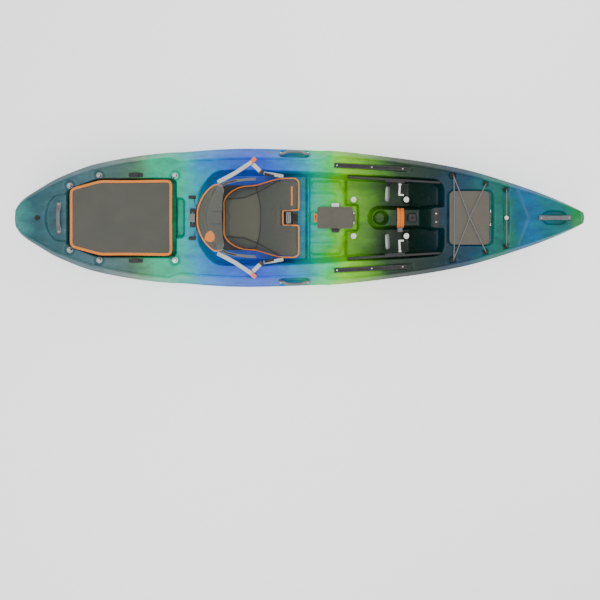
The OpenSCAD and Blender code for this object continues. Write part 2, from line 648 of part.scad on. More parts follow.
module console_screws() color("silver") translate([plate_x, 0, plate_z + 6]) for (s = [-1, 1])
    translate([0, s * 24, 0]) screw(5);

// Bow hatch
bow_lid_z = bow_seat_z + 2.6;
bow_lid_h = 15;
bow_hinge_z = bow_seat_z + 9;
module bow_lid() color("dimgray") difference() {
    union() {
        translate([bow_lid_x, 0, bow_lid_z]) linear_extrude(bow_lid_h) rounded(bow_lid_l, bow_lid_w, 28);
        translate([bow_hinge_x, 0, bow_hinge_z]) rotate([90, 0, 0]) cylinder(d = 12, h = 60, center = true);
        translate([bow_hinge_x - 12, -30, bow_hinge_z - 4]) cube([12, 60, 8]);
    }
    translate([bow_lid_x, 0, bow_lid_z - 1]) linear_extrude(bow_lid_h - 3)
        rounded(bow_lid_l - 14, bow_lid_w - 14, 22);
    translate([bow_hinge_x, 0, bow_hinge_z]) rotate([90, 0, 0])
        cylinder(d = 5 + 2 * fit, h = 70, center = true);
}
module bow_gasket() color("black") translate([bow_lid_x, 0, bow_seat_z]) linear_extrude(2.2) difference() {
    rounded(bow_lid_l - 16, bow_lid_w - 16, 22);
    rounded(bow_lid_l - 32, bow_lid_w - 32, 16);
}
module bow_hinge_pin() color("silver") translate([bow_hinge_x, 0, bow_hinge_z]) {
    rotate([90, 0, 0]) cylinder(d = 5, h = 76, center = true);
    for (s = [-1, 1]) translate([0, s * 38.5, 0]) hinge_stand(12, 15, bow_hinge_z - bow_seat_z);
}

// Pad eyes and shock cords of the fore deck
eye_h = 21;
module pad_eye() difference() {
    union() {
        cylinder(d = 28, h = 3);
        translate([-3, -9, 2]) cube([6, 18, eye_h - 2]);
        translate([0, 0, eye_h]) rotate([0, 90, 0]) cylinder(d = 18, h = 6, center = true);
    }
    translate([0, 0, eye_h]) rotate([0, 90, 0]) cylinder(d = cord_d + 2, h = 8, center = true);
}
module bow_eyes() color("black") both_sides() for (x = eye_xs) translate([x, eye_y(x), eye_z(x)])
    rotate([0, 0, 90]) pad_eye();
function eye_top(x, s) = [x, s * eye_y(x), eye_z(x) + eye_h];
lid_top = bow_lid_z + bow_lid_h;
cord_z = lid_top + cord_d / 2 + .8;
lid_edge = bow_lid_w / 2 + 3;
function over(x, s) = [lerp(bow_lid_x, x, lid_edge / eye_y(x)), s * lid_edge, cord_z];
module bow_shock_cord() color("gray") {
    for (s = [-1, 1]) route([eye_top(eye_xs[0], s), over(eye_xs[0], s), [bow_lid_x, 0, cord_z],
        over(eye_xs[1], -s), eye_top(eye_xs[1], -s)], cord_d);
    route([eye_top(eye_xs[0], 1) + [4, -cord_d, 0], [eye_xs[0] + 4, lid_edge + 2, cord_z],
        [eye_xs[0] + 4, -lid_edge - 2, cord_z], eye_top(eye_xs[0], -1) + [4, cord_d, 0]], cord_d);
}
module keeper_cord() color("gray") rod(eye_top(keeper_x, -1), eye_top(keeper_x, 1), cord_d);
module toggle_ball() color("white") translate([keeper_x, 0, eye_top(keeper_x, 1)[2]]) difference() {
    sphere(d = ball_d);
    rotate([90, 0, 0]) cylinder(d = cord_d + 2 * fit + .1, h = ball_d + 2, center = true);
}

// Rear well cover with its piping, hooks and loops
cover_t = 3;
cover_z = (deck_z(well_aft, well_half_w) + deck_z(well_fore, well_half_w)) / 2 - 1;
cover_gap = 13;
pipe_w = 15;
module cover_outline(inset) offset(r = 22) offset(delta = -22 - inset)
    polygon([for (s = [1, -1], i = s > 0 ? [0, 1, 2] : [2, 1, 0])
        let (x = [well_aft + 27, well_aft + 199, well_fore - 23][i])
        [x, s * (well_half(x) - cover_gap)]]);
module well_cover() color("darkslategray") translate([0, 0, cover_z]) linear_extrude(cover_t)
    cover_outline(pipe_w);
module cover_piping() color("darkorange") translate([0, 0, cover_z - 1.5]) linear_extrude(cover_t + 3)
    difference() {
    cover_outline(0);
    cover_outline(pipe_w);
}
module cover_hooks() color("silver") both_sides() for (x = hook_xs) translate([x, hook_y(x), hook_z(x)]) {
    cylinder(d = 34, h = 4);
    cylinder(d = 9, h = hook_sink + 2);
    translate([0, 0, hook_sink + 1]) cylinder(d = 20, h = 4);
}
module cover_loops() color("black") both_sides() for (x = hook_xs) {
    reach = x < well_aft + 30 ? 27 : x < well_fore - 60 ? 26 : 36;
    inner = x < well_aft + 30 ? [well_aft + 49, well_half(well_aft + 49) - cover_gap - 24]
        : x < well_fore - 60 ? [x, well_half(x) - cover_gap] :
            [well_fore - 45, well_half_w - cover_gap - 22];
    hook = [x, hook_y(x)];
    way = (hook - inner) / norm(hook - inner);
    rod(concat(hook - way * reach, cover_z + 1.5), concat(hook - way * 7, hook_z(x) + hook_sink - 3), 4);
}
module side_clips() color("black") both_sides() translate([clip_x, clip_y, deck_z(clip_x, clip_y) - 3])
    difference() {
    union() {
        linear_extrude(5) rounded(80, 24, 5);
        linear_extrude(14) rounded(34, 26, 5);
    }
    translate([0, 0, 9]) cube([20, 40, 5], center = true);
    for (s = [-1, 1]) translate([s * 30, 0, 2]) cylinder(d = 6, h = 4);
}
module cord_cleats() color("black") both_sides()
    translate([cleat_x, cleat_y, deck_z(cleat_x, cleat_y) - 3]) {
    linear_extrude(4) rounded(40, 20, 4);
    for (s = [-1, 1]) translate([s * 8, 0, 3]) cylinder(d = 8, h = 10);
    translate([-20, -4.5, 12]) cube([40, 9, 5]);
}
bracket_z = deck_z(bracket_x, 0) - 3;
module webbing_bracket() color("black") translate([bracket_x, 0, bracket_z]) linear_extrude(10)
    difference() {
    rounded(30, 108, 5);
    square([9, 66], center = true);
}
anchor_z = deck_z(anchor_x, anchor_y) - 3;
module anchor_clips() color("orange") both_sides() translate([anchor_x, anchor_y, anchor_z])
    rotate([0, 0, anchor_angle]) difference() {
    linear_extrude(13) rounded(46, 24, 7);
    translate([0, 0, 7]) cube([8, 40, 4], center = true);
}

// Seat pan and cushion
seat_half = cock_wall(seat_x, seat_floor_z) - seat_gap + 6;
ramp_rise = 112;
pan_r = cushion_l / 2;
pan_z = seat_floor_z + pan_t;
hinge_x = back_x - seat_x;
pan_tail = 19.425 - hinge_x - pan_r;
module pan_profile() polygon([[-pan_r - pan_tail, seat_floor_z], [4, seat_floor_z],
    [pan_r - 22, seat_floor_z + ramp_rise],
    [pan_r - 14, seat_floor_z + ramp_rise], [pan_r - 14, seat_floor_z], [pan_r - 6, seat_floor_z],
    [pan_r - 6, pan_z + ramp_rise], [pan_r - 24, pan_z + ramp_rise], [0, pan_z],
        [-pan_r - pan_tail, pan_z]]);
lug_w = 8;
spine_w = 44;
back_pin_d = 10;
back_hinge_z = seat_floor_z + 85;
module seat_pan() color("black") translate([seat_x, 0, 0]) {
    across(2 * seat_half - 70) pan_profile();
    for (s = [-1, 1]) translate([hinge_x, s * (spine_w / 2 + clear + lug_w / 2), 0]) difference() {
        union() {
            translate([-16, -lug_w / 2, pan_z - 1]) cube([32, lug_w, back_hinge_z - pan_z + 1]);
            translate([0, 0, back_hinge_z]) rotate([90, 0, 0]) cylinder(d = 32, h = lug_w, center = true);
        }
        translate([0, 0, back_hinge_z]) rotate([90, 0, 0])
            cylinder(d = back_pin_d, h = lug_w + 1, center = true);
    }
}
function cushion_top(u) = pan_z + cushion_t + ramp_rise * clamp((u + 20) / (pan_r - 24));
module cushion_profile() polygon([[-pan_r, pan_z + .1], [0, pan_z + .1],
    [pan_r - 24, pan_z + ramp_rise + .1],
    [pan_r, pan_z + ramp_rise + .1], [pan_r, pan_z + ramp_rise + cushion_t - 8],
        [pan_r - 10, cushion_top(pan_r)],
    [pan_r - 46, cushion_top(pan_r - 46)], [-20, cushion_top(-20)],
        [-pan_r + 12, pan_z + cushion_t - 4], [-pan_r, pan_z + cushion_t - 16]]);
module cushion_plan() {
    e = [[-pan_r, 112], [-pan_r + 50, 163], [-pan_r + 118, 194], [-pan_r + 185, 195], [-pan_r + 282, 224],
        [-pan_r + 330, 236], [pan_r - 14, 236], [pan_r, 214]];
    difference() {
        polygon([for (p = e) [p[0], p[1] / 236 * seat_half], for (i = [len(e) - 1:-1:0])
            [e[i][0], -e[i][1] / 236 * seat_half]]);
        translate([pan_r - 96, -44]) square([200, 88]);
    }
}
module seat_cushion() color("darkslategray") translate([seat_x, 0, 0]) intersection() {
    linear_extrude(600) cushion_plan();
    across(beam) cushion_profile();
}
strap_w = 25;
module lift_strap() color("black") translate([seat_x + pan_r - 95, 0, .1]) across(44) {
    foot_z = pan_z + ramp_rise * (pan_r - 95) / (pan_r - 24);
    crest_z = pan_z + ramp_rise;
    polygon([[0, foot_z], [71, crest_z], [89, crest_z], [89, crest_z + 4], [70, crest_z + 4],
        [0, foot_z + 5]]);
}
module lift_buckle() color("lightgray")
    translate([seat_x + pan_r - 60, 0, pan_z + ramp_rise * (pan_r - 60) / (pan_r - 24) + 8.8])
    rotate([0, -30, 0]) difference() {
    linear_extrude(5, center = true) rounded(30, 66, 4);
    for (s = [-1, 1]) translate([s * 6, 0, 0]) cube([5, 50, 8], center = true);
}

// Backrest: spine, brackets, shell and pad lean together
spine_lean = 14.3;
back_cz = 286;
spine_l = back_cz / cos(spine_lean) + 83;
spine_t = 34;
module back_place() translate([back_x, 0, back_hinge_z]) children();
module back_spine() color("gray") back_place() rotate([0, -spine_lean, 0]) difference() {
    union() {
        rotate([90, 0, 0]) cylinder(d = spine_t + 6, h = spine_w, center = true);
        translate([-spine_t / 2, -spine_w / 2, 0]) cube([spine_t, spine_w, spine_l]);
    }
    rotate([90, 0, 0]) cylinder(d = back_pin_d + 2 * fit, h = spine_w + 1, center = true);
    for (i = [0:1:4]) translate([0, 0, 130 + i * 56]) cube([spine_t + 2, spine_w - 16, 34], center = true);
}
module back_hinge_pin() color("silver") back_place() {
    rotate([90, 0, 0]) cylinder(d = back_pin_d, h = spine_w + 2 * clear + 2 * lug_w + 6, center = true);
    for (s = [-1, 1]) translate([0, s * (spine_w / 2 + clear + lug_w + 2.2), 0]) rotate([90, 0, 0])
        cylinder(d = 18, h = 4, center = true);
}
back_lean = 29;
back_r = 700;
shell_t = 5;
back_cx = -24;
module back_frame() back_place() translate([back_cx, 0, back_cz]) rotate([0, -back_lean, 0]) children();
module back_outline(grow = 0) rotate([90, 0, 90]) linear_extrude(300, center = true)
    offset(delta = grow) intersection() {
    rounded(back_w, back_h, 40);
    translate([0, -back_h / 2 - 30]) scale([1, (back_h + 30) / (back_w * .575)])
        circle(r = back_w * .575, $fn = 72);
}
module back_curve(r0, r1) translate([back_r, 0, 0]) difference() {
    cylinder(r = r1, h = 400, center = true, $fn = 96);
    cylinder(r = r0, h = 401, center = true, $fn = 96);
    translate([-back_r * .3, -500, -250]) cube([1000, 1000, 500]);
}
module back_pad() color("darkslategray") back_frame() intersection() {
    back_curve(back_r - back_t, back_r);
    back_outline();
}
module back_shell() color("black") back_frame() difference() {
    intersection() {
        back_curve(back_r + .1, back_r + shell_t);
        back_outline(-8);
    }
    for (z = [-52, 52]) translate([0, 0, z]) cube([100, 120, 22], center = true);
}
module back_brackets() color("dimgray") difference() {
    back_frame() {
        translate([-40, -17, -40]) cube([40 - shell_t - .3, 34, 96]);
        translate([-24, -60, 30]) cube([24 - shell_t - 1, 120, 18]);
    }
    back_place() rotate([0, -spine_lean, 0]) translate([-80 + spine_t / 2 + .1, -spine_w, 0])
        cube([80, 2 * spine_w, spine_l + 60]);
}

// Webbing between the backrest, the side decks and the cushion
back_corner = [back_x + 29, back_w / 2 + 16, back_hinge_z + 232];
anchor_top = [anchor_x - 6, anchor_y - 8, anchor_z + 15];
front_end = [seat_x + pan_r - 90, seat_half + 13, seat_floor_z + 130];
buckle_mid = [anchor_x + 50, anchor_y - 66, anchor_z + 13];
module side_straps() color("white") both_sides() webbing(back_corner, anchor_top, strap_w, 2);
module front_straps() color("white") both_sides() {
    webbing(anchor_top + [8, -12, 0], buckle_mid + [-9, 7, 0], strap_w, 2);
    webbing(buckle_mid + [18, -8, -1], front_end, strap_w - 4, 2);
}
module strap_buckles() color("black") both_sides() translate(buckle_mid) rotate([0, 0, -48])
    cube([18, 34, 7], center = true);
module rear_cords() color("black") both_sides() route([[back_x - 70, 26, back_hinge_z + 245],
    [back_x - 95, 70, back_hinge_z + 205], [cleat_x + 10, cleat_y - 12.7, deck_z(cleat_x, cleat_y) + 6]], 5);

module rail_port() rail();
module rail_starboard() mirror([0, 1, 0]) rail();
module foot_track_port() track();
module foot_track_starboard() mirror([0, 1, 0]) track();
module peg_carriage_port() peg_carriage();
module peg_carriage_starboard() mirror([0, 1, 0]) peg_carriage();
module foot_pad_port() foot_pad();
module foot_pad_starboard() mirror([0, 1, 0]) foot_pad();
module lock_lever_port() lock_lever();
module lock_lever_starboard() mirror([0, 1, 0]) lock_lever();

hull_body();  // hull
skid_plate();
seat_foam_block();
drain_plug();
bow_handle();
stern_handle();
side_handle(1);  // port_handle
side_handle(-1);  // starboard_handle
handle_screws();
rail_port();
rail_starboard();
rail_screws();
foot_track_port();
foot_track_starboard();
track_screws();
peg_carriage_port();
peg_carriage_starboard();
foot_pad_port();
foot_pad_starboard();
lock_lever_port();
lock_lever_starboard();
centre_lid();
centre_hinge_pin();
latch(1);  // latch_port
latch(-1);  // latch_starboard
lid_pull_tab();
bottle_strap();
strap_tab();
accessory_socket();
console_plate();
console_screws();
bow_lid();
bow_gasket();
bow_hinge_pin();
bow_eyes();
bow_shock_cord();
keeper_cord();
toggle_ball();
well_cover();
cover_piping();
cover_hooks();
cover_loops();
side_clips();
cord_cleats();
webbing_bracket();
anchor_clips();
seat_pan();
seat_cushion();
lift_strap();
lift_buckle();
back_spine();
back_hinge_pin();
back_brackets();
back_shell();
back_pad();
side_straps();
front_straps();
strap_buckles();
rear_cords();
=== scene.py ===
# Sit-on-top paddling boat: moulded hull, framed seat, foot braces, hatches and deck fittings.
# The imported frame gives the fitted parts. Here come the moulded surfaces, soft goods and finishes.
import math
import bpy
import numpy as np
from mathutils import Matrix


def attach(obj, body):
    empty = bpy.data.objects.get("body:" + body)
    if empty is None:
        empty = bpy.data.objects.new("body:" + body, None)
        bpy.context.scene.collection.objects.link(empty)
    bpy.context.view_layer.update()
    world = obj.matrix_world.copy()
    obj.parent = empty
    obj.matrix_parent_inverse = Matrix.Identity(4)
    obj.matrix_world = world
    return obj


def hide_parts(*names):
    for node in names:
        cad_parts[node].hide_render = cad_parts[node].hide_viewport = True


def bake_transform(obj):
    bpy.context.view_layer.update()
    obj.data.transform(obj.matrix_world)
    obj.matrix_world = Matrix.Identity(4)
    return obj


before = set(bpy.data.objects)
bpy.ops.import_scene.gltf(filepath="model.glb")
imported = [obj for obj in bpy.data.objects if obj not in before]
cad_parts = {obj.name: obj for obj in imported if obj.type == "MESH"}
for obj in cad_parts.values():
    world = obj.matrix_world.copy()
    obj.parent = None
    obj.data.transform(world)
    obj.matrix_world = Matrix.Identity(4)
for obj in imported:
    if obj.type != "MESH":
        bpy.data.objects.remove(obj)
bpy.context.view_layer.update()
mm = 0.001

# The hull's outer sizes in mm, then its deck grid: pitch along X, points across, smoothing passes
hull = {"halfLength": 1625.0, "halfBeam": 410.0, "depth": 338.0, "pitch": 3.25, "across": 221, "soften": 3}

# Camera straight above the boat, bow to the right
camera = {"height": 4.36, "lens": 41.9, "shift": -0.137}
cameraData = bpy.data.cameras.new("camera")
cameraData.lens = camera["lens"]
cameraData.shift_y = camera["shift"]
cameraObject = bpy.data.objects.new("camera", cameraData)
cameraObject.location = (0, 0, camera["height"])
bpy.context.collection.objects.link(cameraObject)
bpy.context.scene.camera = cameraObject
print("camera placed")


# ---------- helpers for materials
def linear(rgb):  # screen colour 0-255 to linear light
    c = np.array(rgb) / 255
    return tuple(np.where(c <= .04045, c / 12.92, ((c + .055) / 1.055) ** 2.4)) + (1.0,)


def vivid(rgb, gain=1.5, light=.68):  # pigment spread away from its own grey and darkened
    c = np.array(linear(rgb)[:3])
    spread = np.clip(c.mean() + (c - c.mean()) * gain, .001, 1)
    return tuple(spread * light) + (1.0,)


def node(mat, kind, inputs=None, **settings):  # one shader node with its links and values
    made = mat.node_tree.nodes.new("ShaderNode" + kind)
    for key, value in settings.items():
        setattr(made, key, value)
    for key, value in (inputs or {}).items():
        if isinstance(value, bpy.types.NodeSocket):
            mat.node_tree.links.new(value, made.inputs[key])
        else:
            made.inputs[key].default_value = value
    return made


def mixed(mat, factor, first, second, blend="MIX"):  # colour mix of two sockets or colours
    made = node(mat, "Mix", data_type="RGBA", blend_type=blend)
    for socket, value in ((0, factor), (6, first), (7, second)):
        if isinstance(value, bpy.types.NodeSocket):
            mat.node_tree.links.new(value, made.inputs[socket])
        else:
            made.inputs[socket].default_value = value
    return made.outputs[2]


def ranged(mat, value, low, high, newLow=0.0, newHigh=1.0):
    return node(mat, "MapRange", {0: value, 1: low, 2: high, 3: newLow, 4: newHigh}).outputs[0]


def noise(mat, vector, scale, detail=4.0, roughness=.55):
    return node(mat, "TexNoise", {"Vector": vector, "Scale": scale, "Detail": detail,
                                  "Roughness": roughness}).outputs["Fac"]


def material(name, roughness, **sockets):
    mat = bpy.data.materials.new(name)
    mat.use_nodes = True
    shader = mat.node_tree.nodes["Principled BSDF"]
    shader.inputs["Roughness"].default_value = roughness
    for key, value in sockets.items():
        shader.inputs[key.replace("_", " ")].default_value = value
    place = node(mat, "TexCoord").outputs["Object"]
    return mat, shader, place


def bump(mat, shader, *layers):  # layers of (height socket, strength, depth in metres)
    normal = None
    for height, strength, depth in layers:
        made = node(mat, "Bump", {"Height": height, "Strength": strength, "Distance": depth})
        if normal:
            mat.node_tree.links.new(normal, made.inputs["Normal"])
        normal = made.outputs["Normal"]
    mat.node_tree.links.new(normal, shader.inputs["Normal"])


def colour(mat, shader, socket):
    mat.node_tree.links.new(socket, shader.inputs["Base Color"])


def plastic(name, rgb, roughness=.45, grain=900, wear=.18, coat=0.0):
    # moulded grain, faint blotches and paler rubbed patches
    mat, shader, place = material(name, roughness, Coat_Weight=coat, Coat_Roughness=.2)
    base = np.array(linear(rgb))
    blotch = noise(mat, place, 14, 5)
    rub = ranged(mat, noise(mat, place, 55, 8, .7), .55, .75)
    pale = tuple(np.minimum(base * 1.5 + .03, 1)[:3]) + (1,)
    tone = mixed(mat, blotch, tuple(base * .82), tuple(np.minimum(base * 1.15, 1)))
    amount = node(mat, "Math", {0: rub, 1: wear}, operation="MULTIPLY").outputs[0]
    colour(mat, shader, mixed(mat, amount, tone, pale))
    fine = noise(mat, place, grain, 2)
    rough = ranged(mat, noise(mat, place, 40, 6), .3, .7, roughness - .06, roughness + .1)
    mat.node_tree.links.new(rough, shader.inputs["Roughness"])
    bump(mat, shader, (fine, .35, .0003), (blotch, .12, .001))
    return mat


def metal(name, rgb, roughness=.3, streak=400):
    # brushed along X, with small scratches
    mat, shader, place = material(name, roughness, Metallic=1.0)
    along = node(mat, "Mapping", {"Vector": place, "Scale": (streak * .05, streak, streak)})
    lines = noise(mat, along.outputs[0], 1.0, 3)
    base = np.array(linear(rgb))
    colour(mat, shader, mixed(mat, lines, tuple(base * .75), tuple(np.minimum(base * 1.15, 1))))
    bump(mat, shader, (lines, .25, .0002), (noise(mat, place, 120, 6), .1, .0003))
    rough = ranged(mat, noise(mat, place, 60, 4), .3, .7, roughness - .08, roughness + .12)
    mat.node_tree.links.new(rough, shader.inputs["Roughness"])
    return mat


def weave(mat, vector, pitch, turn=0.0):
    # over and under threads: the product of two sine bands, in metres of pitch
    turned = node(mat, "Mapping", {"Vector": vector, "Rotation": (0, 0, turn)}).outputs[0]
    split = node(mat, "SeparateXYZ", {0: turned})
    bands = []
    for axis in (0, 1):
        scaled = node(mat, "Math", {0: split.outputs[axis], 1: 2 * math.pi / pitch}, operation="MULTIPLY")
        bands.append(node(mat, "Math", {0: scaled.outputs[0]}, operation="SINE").outputs[0])
    crossed = node(mat, "Math", {0: bands[0], 1: bands[1]}, operation="MULTIPLY").outputs[0]
    return ranged(mat, crossed, -1, 1)


def fabric(name, rgb, pitch=.0016, panel=None, patch=None, rough=.85, contrast=.35):
    # woven cloth: threads in colour and bump, fuzz, soft creases and faded areas
    mat, shader, place = material(name, rough, Sheen_Weight=.25, Sheen_Roughness=.5)
    base = np.array(linear(rgb))
    threads = weave(mat, place, pitch)
    tone = mixed(mat, threads, tuple(base * (1 - contrast)), tuple(np.minimum(base * (1 + contrast), 1)))
    faded = noise(mat, place, 7, 6, .65)
    tone = mixed(mat, ranged(mat, faded, .35, .7, 0, .35), tone, tuple(np.minimum(base * 1.5, 1)))
    if panel:
        mask = node(mat, "Attribute", attribute_name="panel").outputs["Fac"]
        tone = mixed(mat, mask, tone, linear(panel))
        sewn = node(mat, "Attribute", attribute_name="seam").outputs["Fac"]
        tone = mixed(mat, sewn, tone, tuple(base * .25))
    if patch:
        mask = node(mat, "Attribute", attribute_name="patch").outputs["Fac"]
        dyed = mixed(mat, threads, tuple(np.array(linear(patch)) * .75), linear(patch))
        tone = mixed(mat, ranged(mat, mask, .35, .65), tone, dyed)
    colour(mat, shader, tone)
    creases = noise(mat, place, 22, 5, .6)
    bump(mat, shader, (threads, .6, .0006), (noise(mat, place, 700, 3), .3, .0003), (creases, .25, .003))
    return mat


def webbing(name, rgb, pitch=.0022):
    # ribbed webbing that reads the strip's own UV: V runs along it in metres, U across
    mat, shader, _ = material(name, .8, Sheen_Weight=.2)
    uv = node(mat, "UVMap").outputs[0]
    base = np.array(linear(rgb))
    ribs = weave(mat, uv, pitch, .78)
    worn = noise(mat, uv, 60, 6, .7)
    tone = mixed(mat, ribs, tuple(base * .68), tuple(np.minimum(base * 1.12, 1)))
    colour(mat, shader, mixed(mat, ranged(mat, worn, .5, .8, 0, .4), tone, tuple(base * .6)))
    bump(mat, shader, (ribs, .8, .0007), (worn, .2, .001))
    return mat


# Colour bands of the hull along X in mm, as a moulder pours them from stern to bow
deckBands = [(-1603, (100, 152, 148)), (-1500, (72, 104, 112)), (-1200, (88, 114, 120)),
             (-1000, (90, 116, 106)), (-916, (98, 147, 114)), (-830, (72, 186, 150)),
             (-700, (60, 190, 158)), (-640, (46, 186, 184)),
             (-560, (34, 160, 206)), (-400, (16, 124, 214)), (-228, (14, 108, 212)), (-80, (10, 136, 196)),
             (20, (12, 165, 180)), (110, (42, 205, 160)), (180, (84, 212, 118)), (240, (146, 216, 92)),
             (300, (138, 194, 72)), (370, (112, 166, 60)), (450, (74, 116, 52)), (520, (38, 64, 40)),
             (640, (30, 48, 38)), (760, (20, 44, 42)), (840, (24, 54, 66)), (960, (30, 68, 90)),
             (1080, (36, 108, 104)), (1180, (34, 112, 98)), (1240, (12, 100, 122)), (1330, (6, 108, 148)),
             (1420, (40, 114, 128)), (1520, (34, 112, 108)), (1590, (20, 130, 80))]
sideBands = [(-1600, (30, 80, 84)), (-1430, (50, 92, 92)), (-1345, (38, 76, 74)), (-1170, (66, 74, 76)),
             (-1000, (80, 94, 94)), (-915, (80, 116, 98)), (-830, (34, 142, 122)), (-658, (6, 146, 166)),
             (-486, (16, 140, 196)), (-314, (5, 110, 196)), (-142, (5, 120, 180)), (30, (4, 152, 136)),
             (116, (56, 198, 98)), (202, (140, 222, 66)), (290, (150, 208, 50)), (370, (116, 158, 40)),
             (460, (66, 104, 30)), (545, (26, 62, 24)), (720, (11, 32, 18)), (890, (8, 32, 40)),
             (975, (11, 44, 60)), (1060, (28, 76, 82)), (1150, (34, 90, 60)), (1310, (48, 96, 54)),
             (1500, (28, 92, 60)), (1600, (18, 122, 78))]


def bandRamp(mat, share, bands):
    ramp = node(mat, "ValToRGB", {0: share})
    stops = ramp.color_ramp.elements
    for k, (x, rgb) in enumerate(bands):
        place = (x + hull["halfLength"]) / (2 * hull["halfLength"])
        stop = stops[k] if k < 2 else stops.new(place)
        stop.position = place
        stop.color = vivid(rgb)
    return ramp.outputs[0]


def hullMaterial():
    # Bands along X whose edges wander with a slow noise, mottled with darker and lighter pigment
    mat, shader, place = material("hullPlastic", .36, Specular_IOR_Level=.3)
    split = node(mat, "SeparateXYZ", {0: place})
    drawn = node(mat, "Mapping", {"Vector": place, "Scale": (1, 2.2, 2.6)}).outputs[0]
    wander = noise(mat, drawn, 2.6, 6, .62)
    shifted = node(mat, "Math", {0: wander, 1: .3, 2: split.outputs[0]}, operation="MULTIPLY_ADD").outputs[0]
    reach, shift = hull["halfLength"] * mm, .15  # the noise's middle moves every band by this much
    share = ranged(mat, shifted, -reach + shift, reach + shift)
    deck = bandRamp(mat, share, deckBands)
    side = bandRamp(mat, share, sideBands)
    height = node(mat, "Math", {0: noise(mat, drawn, 5, 5), 1: .14, 2: split.outputs[2]},
                  operation="MULTIPLY_ADD").outputs[0]
    outside = node(mat, "Attribute", attribute_name="outside").outputs["Fac"]
    low = node(mat, "Math", {0: ranged(mat, height, .39, .25), 1: outside}, operation="MULTIPLY").outputs[0]
    pigment = mixed(mat, low, deck, side)
    mottle = ranged(mat, noise(mat, drawn, 9, 8, .7), .3, .75)
    shade = mixed(mat, mottle, (.42, .42, .42, 1), (1.5, 1.5, 1.5, 1))
    pigment = mixed(mat, .55, pigment, shade, "MULTIPLY")
    speck = ranged(mat, noise(mat, place, 60, 6, .75), .62, .8, 0, .25)
    colour(mat, shader, mixed(mat, speck, pigment, (.55, .75, .68, 1)))
    skin = noise(mat, place, 420, 3)
    sweep = noise(mat, place, 16, 4)
    bump(mat, shader, (skin, .18, .0004), (sweep, .12, .003))
    rough = ranged(mat, noise(mat, place, 26, 6), .3, .75, .28, .46)
    mat.node_tree.links.new(rough, shader.inputs["Roughness"])
    return mat


mats = {
    "hull": hullMaterial(),
    "black": plastic("blackNylon", (26, 26, 28), .48),
    "grey": plastic("greyNylon", (96, 98, 100), .42),
    "palePad": plastic("palePad", (158, 160, 160), .5, 500),
    "lid": plastic("lidPlastic", (84, 79, 70), .55, 500, .1),
    "white": plastic("whitePlastic", (226, 226, 220), .35),
    "orange": plastic("orangePlastic", (255, 106, 10), .38),
    "rubber": plastic("sealRubber", (22, 22, 22), .7, 1200, .05),
    "foam": plastic("foamBlock", (214, 214, 210), .9, 300, .05),
    "steel": metal("stainless", (196, 197, 198), .26),
    "spine": metal("anodised", (138, 140, 142), .36),
    "seat": fabric("seatCloth", (70, 72, 64), .0016, (86, 86, 74), (236, 130, 40)),
    "mesh": fabric("coverMesh", (72, 73, 66), .0052, None, None, .8, .6),
    "piping": fabric("orangePiping", (222, 126, 38), .0014),
    "strapBlack": webbing("blackWebbing", (26, 26, 26)),
    "strapPale": webbing("paleWebbing", (206, 206, 200)),
    "strapOrange": webbing("orangeWebbing", (250, 122, 16), .003),
    "cordGrey": webbing("greyCord", (112, 114, 112), .0026),
    "cordBlack": webbing("blackCord", (24, 24, 24), .0026),
}
print("materials made")


# ---------- helpers for surfaces (all in millimetres until the mesh is made)
def makeMesh(name, points, faces, mat, body, uv=None, smooth=True, flags=None):
    mesh = bpy.data.meshes.new(name)
    mesh.from_pydata((np.asarray(points).reshape(-1, 3) * mm).tolist(), [], faces.tolist())
    mesh.polygons.foreach_set("use_smooth", np.full(len(mesh.polygons), smooth))
    for key, values in (flags or {}).items():
        mesh.attributes.new(key, "FLOAT", "POINT").data.foreach_set("value", values.astype(np.float32))
    if uv is not None:
        loops = np.empty(len(mesh.loops), dtype=np.int32)
        mesh.loops.foreach_get("vertex_index", loops)
        mesh.uv_layers.new(name="UVMap").data.foreach_set("uv", uv[loops].astype(np.float32).ravel())
    mesh.materials.append(mat)
    mesh.update()
    made = bpy.data.objects.new(name, mesh)
    bpy.context.collection.objects.link(made)
    if body:
        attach(made, body)
    return made


def gridFaces(rows, cols, wrapRows=False, wrapCols=False, flip=False):
    # quads between neighbouring grid points, closed round where asked
    index = np.arange(rows * cols).reshape(rows, cols)
    if wrapRows:
        index = np.concatenate([index, index[:1]], 0)
    if wrapCols:
        index = np.concatenate([index, index[:, :1]], 1)
    a, b, c, d = index[:-1, :-1], index[1:, :-1], index[1:, 1:], index[:-1, 1:]
    quads = np.stack([a, b, c, d], -1).reshape(-1, 4)
    return quads[:, ::-1] if flip else quads


def softStep(d, r):  # 0 below -r, d above r, a parabola between
    return np.where(d > r, d, np.where(d < -r, 0, (d + r) ** 2 / (4 * r)))


def softMin(a, b, k):  # the smaller of two, rounded over a width k
    h = np.clip(.5 + .5 * (b - a) / k, 0, 1)
    return b * (1 - h) + a * h - k * h * (1 - h)


def roundBox(x, y, cx, cy, l, w, r, angle=0.0):  # distance inside a rounded rectangle
    c, s = math.cos(angle), math.sin(angle)
    u, v = (x - cx) * c + (y - cy) * s, -(x - cx) * s + (y - cy) * c
    dx, dy = np.abs(u) - (l / 2 - r), np.abs(v) - (w / 2 - r)
    return r - np.hypot(np.maximum(dx, 0), np.maximum(dy, 0)) - np.minimum(np.maximum(dx, dy), 0)


def disc(x, y, cx, cy, r):
    return r - np.hypot(x - cx, y - cy)


def capsule(x, y, ax, ay, bx, by, r):  # distance inside a stadium from a to b
    ux, uy = bx - ax, by - ay
    t = np.clip(((x - ax) * ux + (y - ay) * uy) / (ux * ux + uy * uy), 0, 1)
    return r - np.hypot(x - ax - t * ux, y - ay - t * uy)


